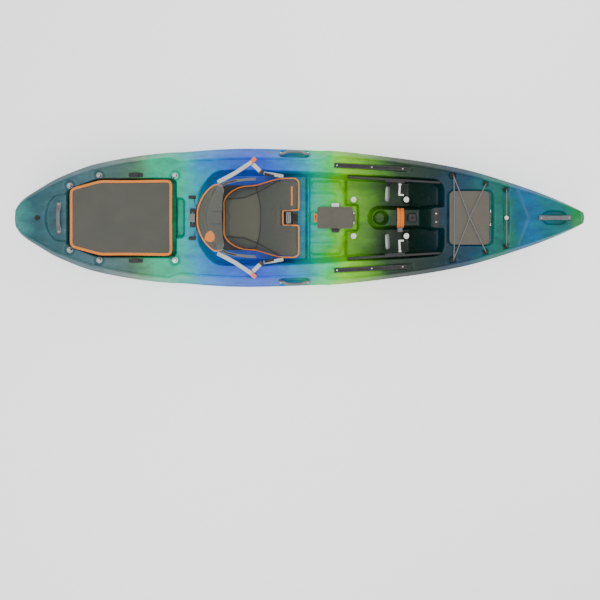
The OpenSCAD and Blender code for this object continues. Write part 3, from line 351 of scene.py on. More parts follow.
def sweep(name, path, radii, mat, body, slot, side=(0, 0, 1), closed=False, around=12, power=2.0):
    # a superellipse section (half width across, half height along side) carried along a path
    path = np.asarray(path, float)
    ahead = np.roll(path, -1, 0) - np.roll(path, 1, 0) if closed else np.gradient(path, axis=0)
    ahead /= np.linalg.norm(ahead, axis=1)[:, None]
    up = np.broadcast_to(np.asarray(side, float), path.shape)
    up = up - (up * ahead).sum(1)[:, None] * ahead
    up /= np.linalg.norm(up, axis=1)[:, None]
    across = np.cross(ahead, up)
    turn = np.linspace(0, 2 * math.pi, around, endpoint=False)
    c, s = np.cos(turn), np.sin(turn)
    radii = np.broadcast_to(np.asarray(radii, float).reshape(-1, 2), (len(path), 2))
    ring = (np.sign(c) * np.abs(c) ** (2 / power))[None, :, None] * across[:, None] * radii[:, :1, None]
    ring = ring + (np.sign(s) * np.abs(s) ** (2 / power))[None, :, None] * up[:, None] * radii[:, 1:, None]
    points = path[:, None] + ring
    step = np.linalg.norm(np.diff(path, axis=0), axis=1)
    run = np.concatenate([[0], np.cumsum(step)])
    girth = 2 * math.pi * radii[:, :1] * (turn / (2 * math.pi))[None]
    uv = np.stack([girth, np.broadcast_to(run[:, None], girth.shape)], -1)
    faces = gridFaces(len(path), around, wrapRows=closed, wrapCols=True, flip=True)
    made = makeMesh(name, points, faces, mat, body, uv=uv.reshape(-1, 2) * mm)
    if not closed:
        closeEnds(made, len(path), around)
    return made


def closeEnds(made, rows, around):  # flat end faces on an open sweep
    mesh = made.data
    count = len(mesh.vertices)
    caps = [list(range(around)), list(range(count - 1, count - around - 1, -1))]
    points = np.empty(count * 3)
    mesh.vertices.foreach_get("co", points)
    quads = np.empty(len(mesh.loops), dtype=np.int32)
    mesh.loops.foreach_get("vertex_index", quads)
    uv = np.empty(len(mesh.loops) * 2, dtype=np.float32)
    mesh.uv_layers[0].data.foreach_get("uv", uv)
    fresh = bpy.data.meshes.new(mesh.name)
    fresh.from_pydata(points.reshape(-1, 3).tolist(), [], quads.reshape(-1, 4).tolist() + caps)
    fresh.polygons.foreach_set("use_smooth", np.arange(len(fresh.polygons)) < len(fresh.polygons) - 2)
    layer = fresh.uv_layers.new(name="UVMap")
    layer.data.foreach_set("uv", np.concatenate([uv, np.zeros(around * 4, dtype=np.float32)]))
    fresh.materials.append(mesh.materials[0])
    made.data = fresh
    bpy.data.meshes.remove(mesh)


def smoothPath(points, count, closed=False, passes=2):
    # points spread evenly along a polyline, with its corners rounded by averaging
    p = np.asarray(points, float)
    if closed:
        p = np.concatenate([p, p[:1]])
    run = np.concatenate([[0], np.cumsum(np.linalg.norm(np.diff(p, axis=0), axis=1))])
    at = np.linspace(0, run[-1], count, endpoint=not closed)
    q = np.stack([np.interp(at, run, p[:, k]) for k in range(3)], -1)
    for _ in range(passes):
        near = (np.roll(q, 1, 0) + 2 * q + np.roll(q, -1, 0)) / 4
        if not closed:
            near[[0, -1]] = q[[0, -1]]
        q = near
    return q


# ---------- the hull's lines: place as a share of the half length, then the value
halfLine = [(-1, .146), (-.985, .234), (-.923, .41), (-.854, .571), (-.714, .778), (-.5, .919),
            (-.185, 1), (.06, .971), (.359, .846), (.572, .702), (.783, .45), (.925, .23),
            (.985, .117), (1, .083)]
keelLine = [(-1, .873), (-.985, .77), (-.962, .57), (-.952, .3), (-.946, .195), (-.85, .135), (-.62, .09),
            (-.48, .08), (-.37, .036), (-.22, 0), (.12, 0), (.25, .035), (.49, .09), (.74, .136),
            (.83, .186), (.862, .272), (.923, .6), (.954, .76), (.985, .94), (1, 1.005)]
chineLine = [(-1, .5), (-.95, .2), (-.9, .24), (-.8, .42), (-.6, .72), (-.3, .83), (0, .84),
             (.3, .82), (.55, .72), (.75, .5), (.88, .36), (1, .5)]
chineHeight = [(-1, .94), (-.985, .87), (-.962, .74), (-.94, .64), (-.8, .536), (-.6, .426), (-.3, .38),
               (0, .37), (.3, .38), (.55, .423), (.75, .515), (.88, .674), (.96, .86), (1, 1.014)]
creaseLine = [(-1, 1.05), (-.889, .997), (-.756, .944), (-.565, .87), (-.465, .846), (-.42, .763),
              (-.25, .755), (-.08, .74), (.06, .745), (.11, .843), (.338, .873), (.574, .911), (.766, .964),
              (.906, 1.02), (1, 1.024)]
ridgeLine = [(-1, 1.09), (-.8, 1.083), (-.49, 1.05), (-.3, 1.02), (0, 1), (.28, .997), (.49, 1.006),
             (.677, 1.036), (.86, 1.085), (.95, 1.1), (.985, 1.085), (1, 1.04)]
insetLine = [(-1, .03), (-.9, .07), (-.7, .09), (-.465, .085), (-.42, .152), (.06, .152),
             (.11, .08), (.3, .07), (.6, .075), (.8, .06), (.95, .03), (1, .015)]
shelfLine = [(-1, 4), (-.465, 6), (-.42, 18), (.06, 18), (.11, 6), (1, 2)]
crownLine = [(-1, 6), (-.8, 10), (-.45, 4), (0, 1), (.5, 4), (.7, 14), (.93, 14), (1, 3)]
halfLength, halfBeam, depth = hull["halfLength"], hull["halfBeam"], hull["depth"]


def curve(table, x):  # cubic pieces whose slopes are harmonic means of the two sides, so none overshoots
    t = np.array(table, float)
    share = np.asarray(x, float) / halfLength
    w = np.diff(t[:, 0])
    rise = np.diff(t[:, 1]) / w
    product = rise[:-1] * rise[1:]
    inner = np.where(product > 0, 2 * product / np.where(product > 0, rise[:-1] + rise[1:], 1), 0)
    slopes = np.concatenate([rise[:1], inner, rise[-1:]])
    i = np.clip(np.searchsorted(t[:, 0], share, side="right") - 1, 0, len(w) - 1)
    u = np.clip((share - t[i, 0]) / w[i], 0, 1)
    a, b, p, q = t[i, 1], t[i + 1, 1], slopes[i] * w[i], slopes[i + 1] * w[i]
    return a + u * (p + u * (3 * (b - a) - 2 * p - q + u * (2 * (a - b) + p + q)))


def halfAt(x):
    return halfBeam * curve(halfLine, x)


def ridgeY(x):
    return halfAt(x) - halfBeam * curve(insetLine, x)


def ridgeZ(x):
    return depth * curve(ridgeLine, x)


def deckZ(x, y):  # crowned deck: a parabola over the ridge height
    return ridgeZ(x) + curve(crownLine, x) * (1 - np.clip(np.abs(y) / ridgeY(x), 0, 1) ** 2)


def cockHalf(x):
    return halfAt(x) - np.interp(x, [270, 829], [136, 92])


def pit(z, d, floor, steep, r=5.0):
    # a hollow where d is inside: walls of that steepness down to the floor, rounded at both edges
    low = np.minimum(floor, z)
    wall = z - steep * softStep(d, r)
    fillet = np.clip(.6 * (z - low), .01, 9)
    return np.where(d > -r, np.minimum(z, -softMin(-wall, -low, fillet)), z)


def swell(z, d, height, r):  # raised by that height where d is inside, over a soft edge of width 2r
    t = np.clip((d + r) / (2 * r), 0, 1)
    return z + height * t * t * (3 - 2 * t)


cockpit = {"aft": -585.0, "fore": 828.75, "seatFloor": 165.0, "platform": 150.0, "footwell": 112.0,
           "consoleTop": 205.0, "consoleHalf": 54.0, "cupX": 480.2,
           "scupperX": (326.6, 648.4), "scupperY": 111.0}
wells = {"floor": 238.0, "aft": -1345.0, "fore": -710.1, "halfAft": 160.0, "halfFore": 228.0, "notch": 288.0}


def wellHalf(x):
    return np.interp(x, [wells["aft"], wells["aft"] + 185], [wells["halfAft"], wells["halfFore"]])


def carveCockpit(x, y, z):
    side = np.abs(y)
    s = (x - cockpit["aft"]) / (cockpit["fore"] - cockpit["aft"])
    lateral = cockHalf(x) - 55 * np.clip(1 - s / .1, 0, 1) ** 2 - side
    corner = ((x + 585) * 88 - (side - 150) * 65) / 109.4
    d = softMin(softMin(softMin(lateral, x - cockpit["aft"], 30), corner, 24), cockpit["fore"] - x, 60) - 4
    floor = np.interp(x, [-645, 36, 46, 53, 61, 269.8, 285, 659.8, 805, 889],
                      [165, 165, 184, 184, 150, 150, 112, 112, 250, 260])
    # heel pads on the platform, a finger recess, then the console, the plinth and the ramp
    for cx, cy, l, w, rise in ((155, 196, 184, 52, 7), (135, 126, 168, 52, 4.5)):
        floor = swell(floor, roundBox(x, side, cx, cy, l, w, 23) - 3, rise, 5)
    floor = pit(floor, roundBox(x, side, 268, 150, 34, 110, 16) - 4, 120, .8, 5)
    floor = pit(floor, softMin(disc(x, y, 96, 0, 46), 98 - x, 6), 139, 2.5, 4)
    plinth = roundBox(x, y, 300, 0, 96, 152, 10)
    floor = np.maximum(floor, 150 - 12 * softStep(-plinth, 3))
    dish = np.maximum(disc(x, side, 326.6, 111, 29), disc(x, side, 648.4, 111, 29))
    floor = pit(floor, dish, 107, .7, 3)
    away = np.where(x < cockpit["cupX"], np.hypot(x - cockpit["cupX"], y), side)
    console = cockpit["consoleTop"] - 7.7 * softStep(away - cockpit["consoleHalf"], 6)
    floor = -softMin(-floor, -console, 12)
    ramp = np.minimum(205 + 3.1 * (x - 711), 420) - 14 * softStep(side - 57, 5)
    ribs = 1.6 * np.sin((x - 711) * 2 * math.pi / 15) * np.clip((46 - side) / 4, 0, 1)
    floor = np.where(x > 640, -softMin(-floor, -(ramp + ribs * (x > 711) * (x < 768)), 8), floor)
    wall = z - 14.3 * softStep(d, 6)
    carved = -softMin(-wall, -np.minimum(floor, z), np.clip(.6 * (z - floor), .01, 14))
    z = np.where(d > -6, np.minimum(z, carved), z)
    z = pit(z, roundBox(x, y, 668, 0, 74, 58, 26), 203, .5, 3)
    z = pit(z, disc(x, y, cockpit["cupX"], 0, 43), 137, 7.6, 4)
    z = pit(z, roundBox(x, y, 210.6, 0, 189, 106, 18), 62, 14, 3)
    return pit(z, roundBox(x, y, 667.9, 0, 38, 38, 2), 179, 30, 1)


def carveDeck(x, y):
    side = np.abs(y)
    z = deckZ(x, y)
    # plateau edge and crescent at the bow, drawn-in lines beside the seat and rear well
    z = swell(z, 1305 - x - side * .35, -3.5, 7)
    z = swell(z, softMin(disc(x, y, 1045, 0, 132), -disc(x, y, 1000, 0, 112), 8), 4, 7)
    z = swell(z, ridgeY(x) - side - 12, -1.2, 5)
    z = carveCockpit(x, y, z)
    inside = softMin(softMin(wellHalf(x) - side, x - wells["aft"], 26), wells["fore"] - x, 26) - 4.2
    z = pit(z, inside, wells["floor"], 11.4, 5)
    z = pit(z, roundBox(x, y, -719, 0, 102, 224, 20), wells["notch"], 14, 5)
    z = pit(z, roundBox(x, y, 980.1, 0, 254, 318, 30), 336.9, 12, 3)
    z = pit(z, roundBox(x, y, 972.1, 0, 184, 252, 24), 189, 5, 5)
    bay = (1 - np.hypot(np.minimum(x + 1374, 0) / 84, y / 134)) * 96
    z = pit(z, softMin(bay, -1330 - x, 12), 348.8, 6, 5)
    z = pit(z, capsule(x, y, 1422.4, 0, 1482.4, 0, 38), 362.3, 6, 5)
    for end in (-78, 78):
        z = pit(z, roundBox(x, y, 1452.4 + end, 0, 32, 32, 3), 380.3, 8, 2)
    for cx, cy, floor in ((879.5, 243.8, 330.7), (1067, 197.7, 339.4), (1181, 163.6, 345.6)):
        z = pit(z, disc(x, side, cx, cy, 18.5), floor, 4, 4)
    for cx, cy, floor in ((-1320, 184.2, 351.9), (-1152, 243, 348.2), (-719.9, 243, 336.4)):
        z = pit(z, disc(x, side, cx, cy, 30), floor, 2.6, 4)
    z = pit(z, roundBox(x, side, 406.25, 292.5, 484, 28.4, 3, -math.radians(3)), 327, 12, 2)
    z = pit(z, capsule(x, y, 1181, -129.6, 1181, 129.6, 17.4), 352.6, 2.4, 5)
    for cx, cy, l, w, turn in ((-272, 327.6, 52, 28, 45), (-940, 245, 84, 30, 0), (-618, 118, 44, 26, 0),
                               (-616.2, 0, 36, 114, 0), (783, 0, 40, 118, 0)):
        z = pit(z, roundBox(x, side, cx, cy, l, w, 4, math.radians(turn)), deckZ(cx, cy) - 3, 6, 2)
    z = pit(z, disc(x, y, -1501, 0, 15), 371.5, 8, 2)
    return pit(z, disc(x, y, -1501, 0, 9.5), 357.5, 9, 1)


def average(field, passes):  # binomial smoothing along both ways, the two sides kept
    for _ in range(passes):
        inner = (field[:-2, 1:-1] + 2 * field[1:-1, 1:-1] + field[2:, 1:-1]) / 4
        field[1:-1, 1:-1] = inner
        inner = (field[1:-1, :-2] + 2 * field[1:-1, 1:-1] + field[1:-1, 2:]) / 4
        field[1:-1, 1:-1] = inner
    return field


def gridNormals(points):
    along, over = np.gradient(points, axis=0), np.gradient(points, axis=1)
    n = np.cross(along, over)
    return n / np.maximum(np.linalg.norm(n, axis=-1, keepdims=True), 1e-9)


def buildDeck():
    # height field over a grid that follows the deck's edge, cut into four pieces of equal pitch
    rows = int(round(2 * halfLength / hull["pitch"])) + 1
    xs = np.linspace(-halfLength, halfLength, rows)[:, None]
    v = np.linspace(-1, 1, hull["across"])[None]
    x = np.broadcast_to(xs, (rows, hull["across"])).copy()
    y = v * (ridgeY(xs) - 8)
    z = average(carveDeck(x, y), hull["soften"])
    edge = deckZ(x, y)
    z[:, [0, -1]] = edge[:, [0, -1]]
    z[[0, -1]] = edge[[0, -1]]
    points = np.stack([x, y, z], -1)
    # each scupper is a real hole: its rim is moved onto a circle and the faces inside are left out
    hole = np.zeros(x.shape, bool)
    for cx in cockpit["scupperX"]:
        for cy in (-cockpit["scupperY"], cockpit["scupperY"]):
            away = np.hypot(x - cx, y - cy)
            near = (away < 19) & (away > 14.5)
            pull = np.where(near, 17 / np.maximum(away, 1), 1)
            points[..., 0] = cx + (points[..., 0] - cx) * pull
            points[..., 1] = cy + (points[..., 1] - cy) * pull
            hole |= away < 14.5
    normals = gridNormals(points)
    cuts = [int(np.searchsorted(xs[:, 0], c)) for c in (-halfLength, -640, 20, 846, halfLength)]
    for name, a, b in zip(("sternDeck", "seatDeck", "footDeck", "bowDeck"), cuts[:-1], cuts[1:]):
        part = points[a:b + 1]
        faces = gridFaces(part.shape[0], part.shape[1])
        gone = hole[a:b + 1].ravel()[faces].any(1)
        made = makeMesh(name, part, faces[~gone], mats["hull"], "hull",
                        flags={"outside": np.zeros(part.shape[0] * part.shape[1])})
        made.data.normals_split_custom_set_from_vertices(normals[a:b + 1].reshape(-1, 3).tolist())
        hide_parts("hull")
    return points


def buildSides(deck):
    # half frames from keel to deck edge, mirrored; the handle pockets are pressed inwards
    deckRows = deck[:, 0, 0]
    index = np.arange(len(deckRows))
    keep = (index % 3 == 0) | ((deckRows > -150) & (deckRows < 90)) | (index == index[-1])
    x = deckRows[keep]
    b, k = halfAt(x), depth * curve(keelLine, x)
    yc, zc = b * curve(chineLine, x), np.maximum(k + 1, depth * curve(chineHeight, x))
    zb, s = depth * curve(creaseLine, x), curve(shelfLine, x)
    yr, zr = ridgeY(x), ridgeZ(x)
    knots = [(0 * b, k), (.16 * b, k), (.16 * b * .45 + yc * .55, k * .9 + zc * .1),
             (.16 * b * .12 + yc * .88, k * .55 + zc * .45), (yc, zc),
             (yc * .35 + b * .65, zc * .55 + zb * .45), (b, zb), (b - s * .8, np.minimum(zb + s, zr - 1)),
             (yr, zr), (yr - 8, deckZ(x, yr - 8))]
    knots = np.array([np.stack(pair, -1) for pair in knots])
    shares = [8, 10, 10, 9, 16, 14, 9, 34, 6]
    stretches = [knots[n] + (knots[n + 1] - knots[n])
                 * np.linspace(0, 1, share, endpoint=False)[:, None, None]
                 for n, share in enumerate(shares)]
    half = np.concatenate(stretches + [knots[-1:]]).transpose(1, 0, 2)
    for _ in range(7):
        half[:, 1:-1] = (half[:, :-2] + 2 * half[:, 1:-1] + half[:, 2:]) / 4
    # the pocket: a hollow measured along its own normal, which leans 54 degrees from upright
    f = -32.0
    z0 = depth * curve(creaseLine, f) + curve(shelfLine, f)
    ridge = float(ridgeZ(f))
    t = (depth * .885 - z0) / (ridge - z0)
    out = halfAt(f) - curve(shelfLine, f) * .8
    cy, cz = float(out + (ridgeY(f) - out) * t) - 2, depth * .885
    lean = math.radians(54)
    dy, dz = half[..., 0] - cy, half[..., 1] - cz
    v = dy * math.cos(lean) - dz * math.sin(lean)
    w = dy * math.sin(lean) + dz * math.cos(lean)
    u = np.broadcast_to(x[:, None] - f, v.shape)
    sunk = pit(w, roundBox(u, v, 0, 10, 166, 82, 25), -38, 3.2, 5) - w
    sunk = sunk * (np.abs(u) < 100) * (half[..., 1] > 200)
    for _ in range(3):
        sunk[1:-1, 1:-1] = (sunk[:-2, 1:-1] + 2 * sunk[1:-1, 1:-1] + sunk[2:, 1:-1]) / 4
        sunk[1:-1, 1:-1] = (sunk[1:-1, :-2] + 2 * sunk[1:-1, 1:-1] + sunk[1:-1, 2:]) / 4
    half[..., 0] += sunk * math.sin(lean)
    half[..., 1] += sunk * math.cos(lean)
    full = np.concatenate([half[:, :0:-1] * (-1, 1), half], 1)
    points = np.concatenate([np.broadcast_to(x[:, None, None], full.shape[:2] + (1,)), full], -1)
    hole = np.zeros(points.shape[:2], bool)
    for cx in cockpit["scupperX"]:
        for cy in (-cockpit["scupperY"], cockpit["scupperY"]):
            hole |= (np.hypot(points[..., 0] - cx, points[..., 1] - cy) < 31) & (points[..., 2] < 60)
    faces = gridFaces(points.shape[0], points.shape[1], flip=True)
    faces = faces[~hole.ravel()[faces].any(1)]
    made = makeMesh("hullSides", points, faces, mats["hull"], "hull",
                    flags={"outside": np.ones(points.shape[0] * points.shape[1])})
    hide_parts("hull")
    # rounded ends: the closing ring shrinks to its middle while it bulges out
    for name, row, out in (("sternEnd", 0, -7.0), ("bowEnd", -1, 7.0)):
        ring = np.concatenate([points[row], deck[row][::-1][1:-1]])
        middle = ring.mean(0)
        angle = np.linspace(0, math.pi / 2, 9)[:, None, None]
        cap = middle + (ring - middle)[None] * np.cos(angle)
        cap[..., 0] += (out * np.sin(angle))[..., 0]
        faces = gridFaces(9, len(ring), wrapCols=True, flip=row == -1)
        made = makeMesh(name, cap, faces[:, ::-1], mats["hull"], "hull",
                        flags={"outside": np.ones(9 * len(ring))})
        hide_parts("hull")
    return made


def buildScuppers():
    # drain cones from the footwell to the keel side; the cones are real, but their black colour and the dark
    # lip on each dish bottom are painted shade for the shaded inside of the hole
    for cx in cockpit["scupperX"]:
        for side, label in ((1, "Port"), (-1, "Starboard")):
            cy = side * cockpit["scupperY"]
            end = "Aft" if cx < 400 else "Fore"
            z = np.array([110.4, 110.9, 110.4, 108, 100, 80, 60, 40, 24, 16])
            r = np.array([24.5, 22, 18.6, 17, 17.6, 20.2, 22.8, 25.4, 29.5, 35])
            turn = np.linspace(0, 2 * math.pi, 48, endpoint=False)
            ring = np.stack([cx + r[:, None] * np.cos(turn), cy + r[:, None] * np.sin(turn),
                             np.broadcast_to(z[:, None], (len(z), 48))], -1)
            ring[..., 2] -= np.where(np.arange(len(z)) < 3, 3.2, 0)[:, None]
            # black nylon on the cone and lip: painted shade for the inside of the drain hole
            made = makeMesh("scupper" + end + label, ring, gridFaces(len(z), 48, wrapCols=True),
                            mats["black"], "hull")
            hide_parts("hull")


deckPoints = buildDeck()
print("deck built")
buildSides(deckPoints)
buildScuppers()
print("hull sides built")


# ---------- padded pieces
def closedPad(name, top, under, mat, body):
    # two grids with one border make a closed skin: the upper one, then the lower one turned over
    rows, cols = top.shape[:2]
    index = np.arange(rows * cols).reshape(rows, cols)
    low = index + rows * cols
    edge = np.ones((rows, cols), bool)
    edge[1:-1, 1:-1] = False
    low = np.where(edge, index, low)
    quads = [np.stack([g[:-1, :-1], g[1:, :-1], g[1:, 1:], g[:-1, 1:]], -1).reshape(-1, 4)
             for g in (index, low)]
    faces = np.concatenate([quads[0], quads[1][:, ::-1]])
    points = np.concatenate([top.reshape(-1, 3), under.reshape(-1, 3)])
    used, faces = np.unique(faces, return_inverse=True)
    return makeMesh(name, points[used], faces.reshape(-1, 4), mat, body)


def coordsOf(made):
    flat = np.empty(len(made.data.vertices) * 3)
    made.data.vertices.foreach_get("co", flat)
    return flat.reshape(-1, 3)


def inflate(made, voxel, cap, pressure=4.0, frames=20):
    # an even skin is blown up as cloth against its own stiffness, and no point moves past the cap
    scene = bpy.context.scene
    remesh = made.modifiers.new("remesh", "REMESH")
    remesh.mode = "VOXEL"
    remesh.voxel_size = voxel * mm
    remesh.use_smooth_shade = True
    bpy.context.view_layer.update()
    shell = bpy.data.meshes.new_from_object(made.evaluated_get(bpy.context.evaluated_depsgraph_get()))
    made.modifiers.clear()
    made.data = shell
    start = coordsOf(made)
    cloth = made.modifiers.new("cloth", "CLOTH")
    cloth.settings.quality = 4
    cloth.settings.tension_stiffness = 20
    cloth.settings.compression_stiffness = 12
    cloth.settings.bending_stiffness = .8
    cloth.settings.use_pressure = True
    cloth.settings.uniform_pressure_force = pressure
    cloth.settings.effector_weights.gravity = 0
    cloth.point_cache.frame_start, cloth.point_cache.frame_end = 1, frames
    for step in range(1, frames + 1):
        scene.frame_set(step)
    blown = bpy.data.meshes.new_from_object(made.evaluated_get(bpy.context.evaluated_depsgraph_get()))
    made.modifiers.clear()
    scene.frame_set(1)
    moved = np.empty(len(blown.vertices) * 3)
    blown.vertices.foreach_get("co", moved)
    moved = moved.reshape(-1, 3) - start
    far = np.linalg.norm(moved, axis=1, keepdims=True)
    moved *= np.minimum(1, cap * mm / np.maximum(far, 1e-9))
    made.data = blown
    blown.vertices.foreach_set("co", (start + moved).ravel())
    made.data.polygons.foreach_set("use_smooth", np.full(len(made.data.polygons), True))
    made.data.update()


def subdivided(made):
    finer = made.modifiers.new("finer", "SUBSURF")
    finer.levels = finer.render_levels = 1
    bpy.context.view_layer.update()
    mesh = bpy.data.meshes.new_from_object(made.evaluated_get(bpy.context.evaluated_depsgraph_get()))
    made.modifiers.clear()
    made.data = mesh


def vertexNormals(made):
    flat = np.empty(len(made.data.vertices) * 3)
    made.data.vertex_normals.foreach_get("vector", flat)
    return flat.reshape(-1, 3)


def press(made, points, depthHere):  # points pushed in along their normals, by a depth in mm each
    moved = points - vertexNormals(made) * depthHere[:, None] * mm
    made.data.vertices.foreach_set("co", moved.ravel())
    made.data.update()


def flag(made, key, values):
    made.data.attributes.new(key, "FLOAT", "POINT").data.foreach_set("value", values.astype(np.float32))


def seam(distance, width=3.2, depthHere=3.0):  # a rounded groove where the distance is near nought
    return depthHere * np.exp(-(distance / width) ** 2)


# Seat cushion
seatPad = {"radius": 222.5, "centreX": -229.9, "floor": 173.4, "thick": 45.0, "rise": 112.0, "edge": 26.0,
           "seamShare": .6, "voxel": 5.5, "cap": 7.0, "notchHalf": 44.0, "notchFrom": 126.5, "piping": 4.2}
seatHalf = [(-222.5, 96), (-214, 118), (-195, 142), (-172, 160), (-140, 176), (-104, 187),
            (-37, 191), (60, 217), (107, 228), (190, 228), (212, 222), (222.5, 206)]


def seatUnder(u):
    return seatPad["floor"] + seatPad["rise"] * np.clip(u / 198.5, 0, 1)


def seatTop(u):
    return seatPad["floor"] + seatPad["thick"] + seatPad["rise"] * np.clip((u + 20) / 198.5, 0, 1)


def edgeShare(d, width, power=2.4):  # 0 at the edge rising to 1, as a superellipse quarter
    t = np.clip(d / width, 0, 1)
    return (1 - (1 - t) ** power) ** (1 / power)


def buildSeat():
    u = np.linspace(-222.5, 222.5, 110)[:, None]
    v = np.linspace(-1, 1, 111)[None]
    table = np.array(seatHalf, float)
    y = v * np.interp(u, table[:, 0], table[:, 1])
    x = np.broadcast_to(u, y.shape)
    out = np.maximum(np.abs(y) - seatPad["notchHalf"], seatPad["notchFrom"] - x)
    d = np.minimum(np.minimum(np.interp(x, table[:, 0], table[:, 1]) - np.abs(y), x + 222.5), 222.5 - x)
    d = softMin(d, out, 8)
    share = edgeShare(d, seatPad["edge"])
    low, high = seatUnder(x), seatTop(x)
    mid = low + (high - low) * seatPad["seamShare"] * np.clip(d / 2 + .12, .12, 1) ** .2
    top = mid + (high - mid) * share
    under = mid + (low - mid) * share
    inNotch = out < 0
    top = np.where(inNotch, low + 4, top)
    under = np.where(inNotch, low + .3, under)
    place = x + seatPad["centreX"]
    made = closedPad("seatCushion", np.stack([place, y, top], -1), np.stack([place, y, under], -1),
                     mats["seat"], "hull")
    inflate(made, seatPad["voxel"], seatPad["cap"])
    subdivided(made)
    points = coordsOf(made)
    px, py = (points / mm).T[:2]
    up = vertexNormals(made)[:, 2] > .2
    side = np.interp(px, [-420, -330, -255, -150, -60], [112, 120, 149, 204, 250])
    across = px + 232 + 32 * (py / 189) ** 2
    lines = seam((np.abs(py) - side) * .9, 3.6, 4) * (px < -60) + seam(across, 3.6, 4) * (np.abs(py) < 205)
    back = seam(px + 425 - 8 * np.cos(py / 30), 3, 1.5) * (np.abs(py) < 110)
    rim = np.interp(px - seatPad["centreX"], table[:, 0], table[:, 1]) - np.abs(py)
    tuft = 2.4 * np.cos((px + 330) / 46) * np.cos(py / 60) + 1.6 * np.sin((px + py) / 31)
    wrinkle = .9 * np.sin(px / 11 + 2.2 * np.sin(py / 37)) * np.exp(-np.clip(rim - 6, 0, 99) / 30)
    press(made, points, (lines + back + tuft * .35 + wrinkle) * up)
    flag(made, "panel", np.clip((side - np.abs(py)) / 3, 0, 1) * np.clip(-across / 3, 0, 1))
    flag(made, "seam", np.clip(lines / 3 * up, 0, 1) * .8)
    bar = np.clip((6 - np.abs(px + 47)) / 2, 0, 1) * np.clip((58 - np.abs(py - 126)) / 3, 0, 1) * up
    flag(made, "patch", bar * (.6 + .4 * np.sin(py / 2.2) ** 2))
    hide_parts("seat_cushion")
    # piping round the outline and the notch, on the seam
    port = seatHalf + [(222.5, 44), (130, 44)]
    loop = port + [(a, -b) for a, b in port[::-1]]
    loop = np.array([(a, b, seatUnder(a) + (seatTop(a) - seatUnder(a)) * .64) for a, b in loop], float)
    loop[:, 0] += seatPad["centreX"]
    path = smoothPath(loop, 560, True, 10)
    path[:, 2] = seatUnder(path[:, 0] + 229.9) + 45 * .66 + np.clip((path[:, 0] + 250) * .56, 0, 11)
    path[:, 1] *= 1.004
    piping = sweep("seatPiping", path, (seatPad["piping"], seatPad["piping"]), mats["piping"], "hull",
                   "orange_piping", closed=True, around=10)
    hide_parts("seat_cushion")


# Back pad, in the frame of the leaning backrest
backPad = {"angle": 29.0, "centre": (-511.0, 0.0, 536.0), "front": 664.0, "behind": 700.0, "edge": 20.0,
           "voxel": 5.0, "cap": 6.0, "piping": 3.8}


def backPlace(points):  # local points of the backrest turned back by its lean and put in place
    a = math.radians(backPad["angle"])
    x, y, z = np.moveaxis(np.asarray(points, float), -1, 0)
    return np.stack([x * math.cos(a) - z * math.sin(a), y, x * math.sin(a) + z * math.cos(a)], -1) \
        + np.array(backPad["centre"])


def backHalf(z):
    arch = 207 * np.sqrt(np.clip(1 - ((z + 138) / 246) ** 2, 0, 1))
    corner = 140 + np.sqrt(np.clip(40 ** 2 - np.clip(-68 - z, 0, 40) ** 2, 0, None))
    return np.maximum(softMin(arch, corner, 10), 14)


def buildBack():
    z = np.linspace(-107, 106, 84)[:, None]
    y = np.linspace(-1, 1, 111)[None] * backHalf(z)
    z = np.broadcast_to(z, y.shape)
    d = np.minimum(np.minimum(backHalf(z) - np.abs(y), z + 107), (106 - z) * .9)
    share = edgeShare(d, backPad["edge"])
    front = 700 - np.sqrt(backPad["front"] ** 2 - y ** 2)
    behind = 700 - np.sqrt(backPad["behind"] ** 2 - y ** 2) + .8
    mid = behind + (front - behind) * .45
    made = closedPad("backPad", backPlace(np.stack([mid + (front - mid) * share, y, z], -1))[:, ::-1],
                     backPlace(np.stack([mid + (behind - mid) * share, y, z], -1))[:, ::-1],
                     mats["seat"], "backrest")
    inflate(made, backPad["voxel"], backPad["cap"])
    subdivided(made)
    points = coordsOf(made)
    a = math.radians(backPad["angle"])
    dx, dy, dz = (points / mm - np.array(backPad["centre"])).T
    lx, lz = dx * math.cos(a) + dz * math.sin(a), -dx * math.sin(a) + dz * math.cos(a)
    ahead = lx > 700 - np.sqrt(682 ** 2 - dy ** 2)
    lines = seam(np.abs(dy) - 34, 2.6, 1.6) * (lz < 20) + seam(lz - 64 + (dy / 70) ** 2 * 14, 3, 1.8)
    folds = .8 * np.sin(dy / 13 + 1.7 * np.sin(lz / 24))
    press(made, points, lines * ahead + folds * .6)
    oval = np.clip((1 - np.hypot((dy + 100) / 30, (lz - 30) / 34)) * 12 + .5, 0, 1) * ahead
    flag(made, "patch", oval)
    flag(made, "panel", np.zeros(len(dy)))
    flag(made, "seam", np.clip(lines / 1.8 * ahead, 0, 1) * .7)
    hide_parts("back_pad")
    levels = np.concatenate([np.linspace(-60, 96, 40), np.linspace(96, 106, 8)[1:]])
    sideY = backHalf(levels) + 1
    arc = np.concatenate([np.stack([sideY, levels], -1), np.stack([-sideY, levels], -1)[::-1]])
    mid = 700 - np.sqrt(684 ** 2 - arc[:, 0] ** 2)
    path = smoothPath(backPlace(np.stack([mid, arc[:, 0], arc[:, 1]], -1)), 220, False, 6)
    piping = sweep("backPiping", path, (backPad["piping"], backPad["piping"]), mats["piping"], "backrest",
                   "orange_piping", side=(0, 1, .2), around=10)
    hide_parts("back_pad")


buildSeat()
print("seat cushion built")
buildBack()
print("back pad built")


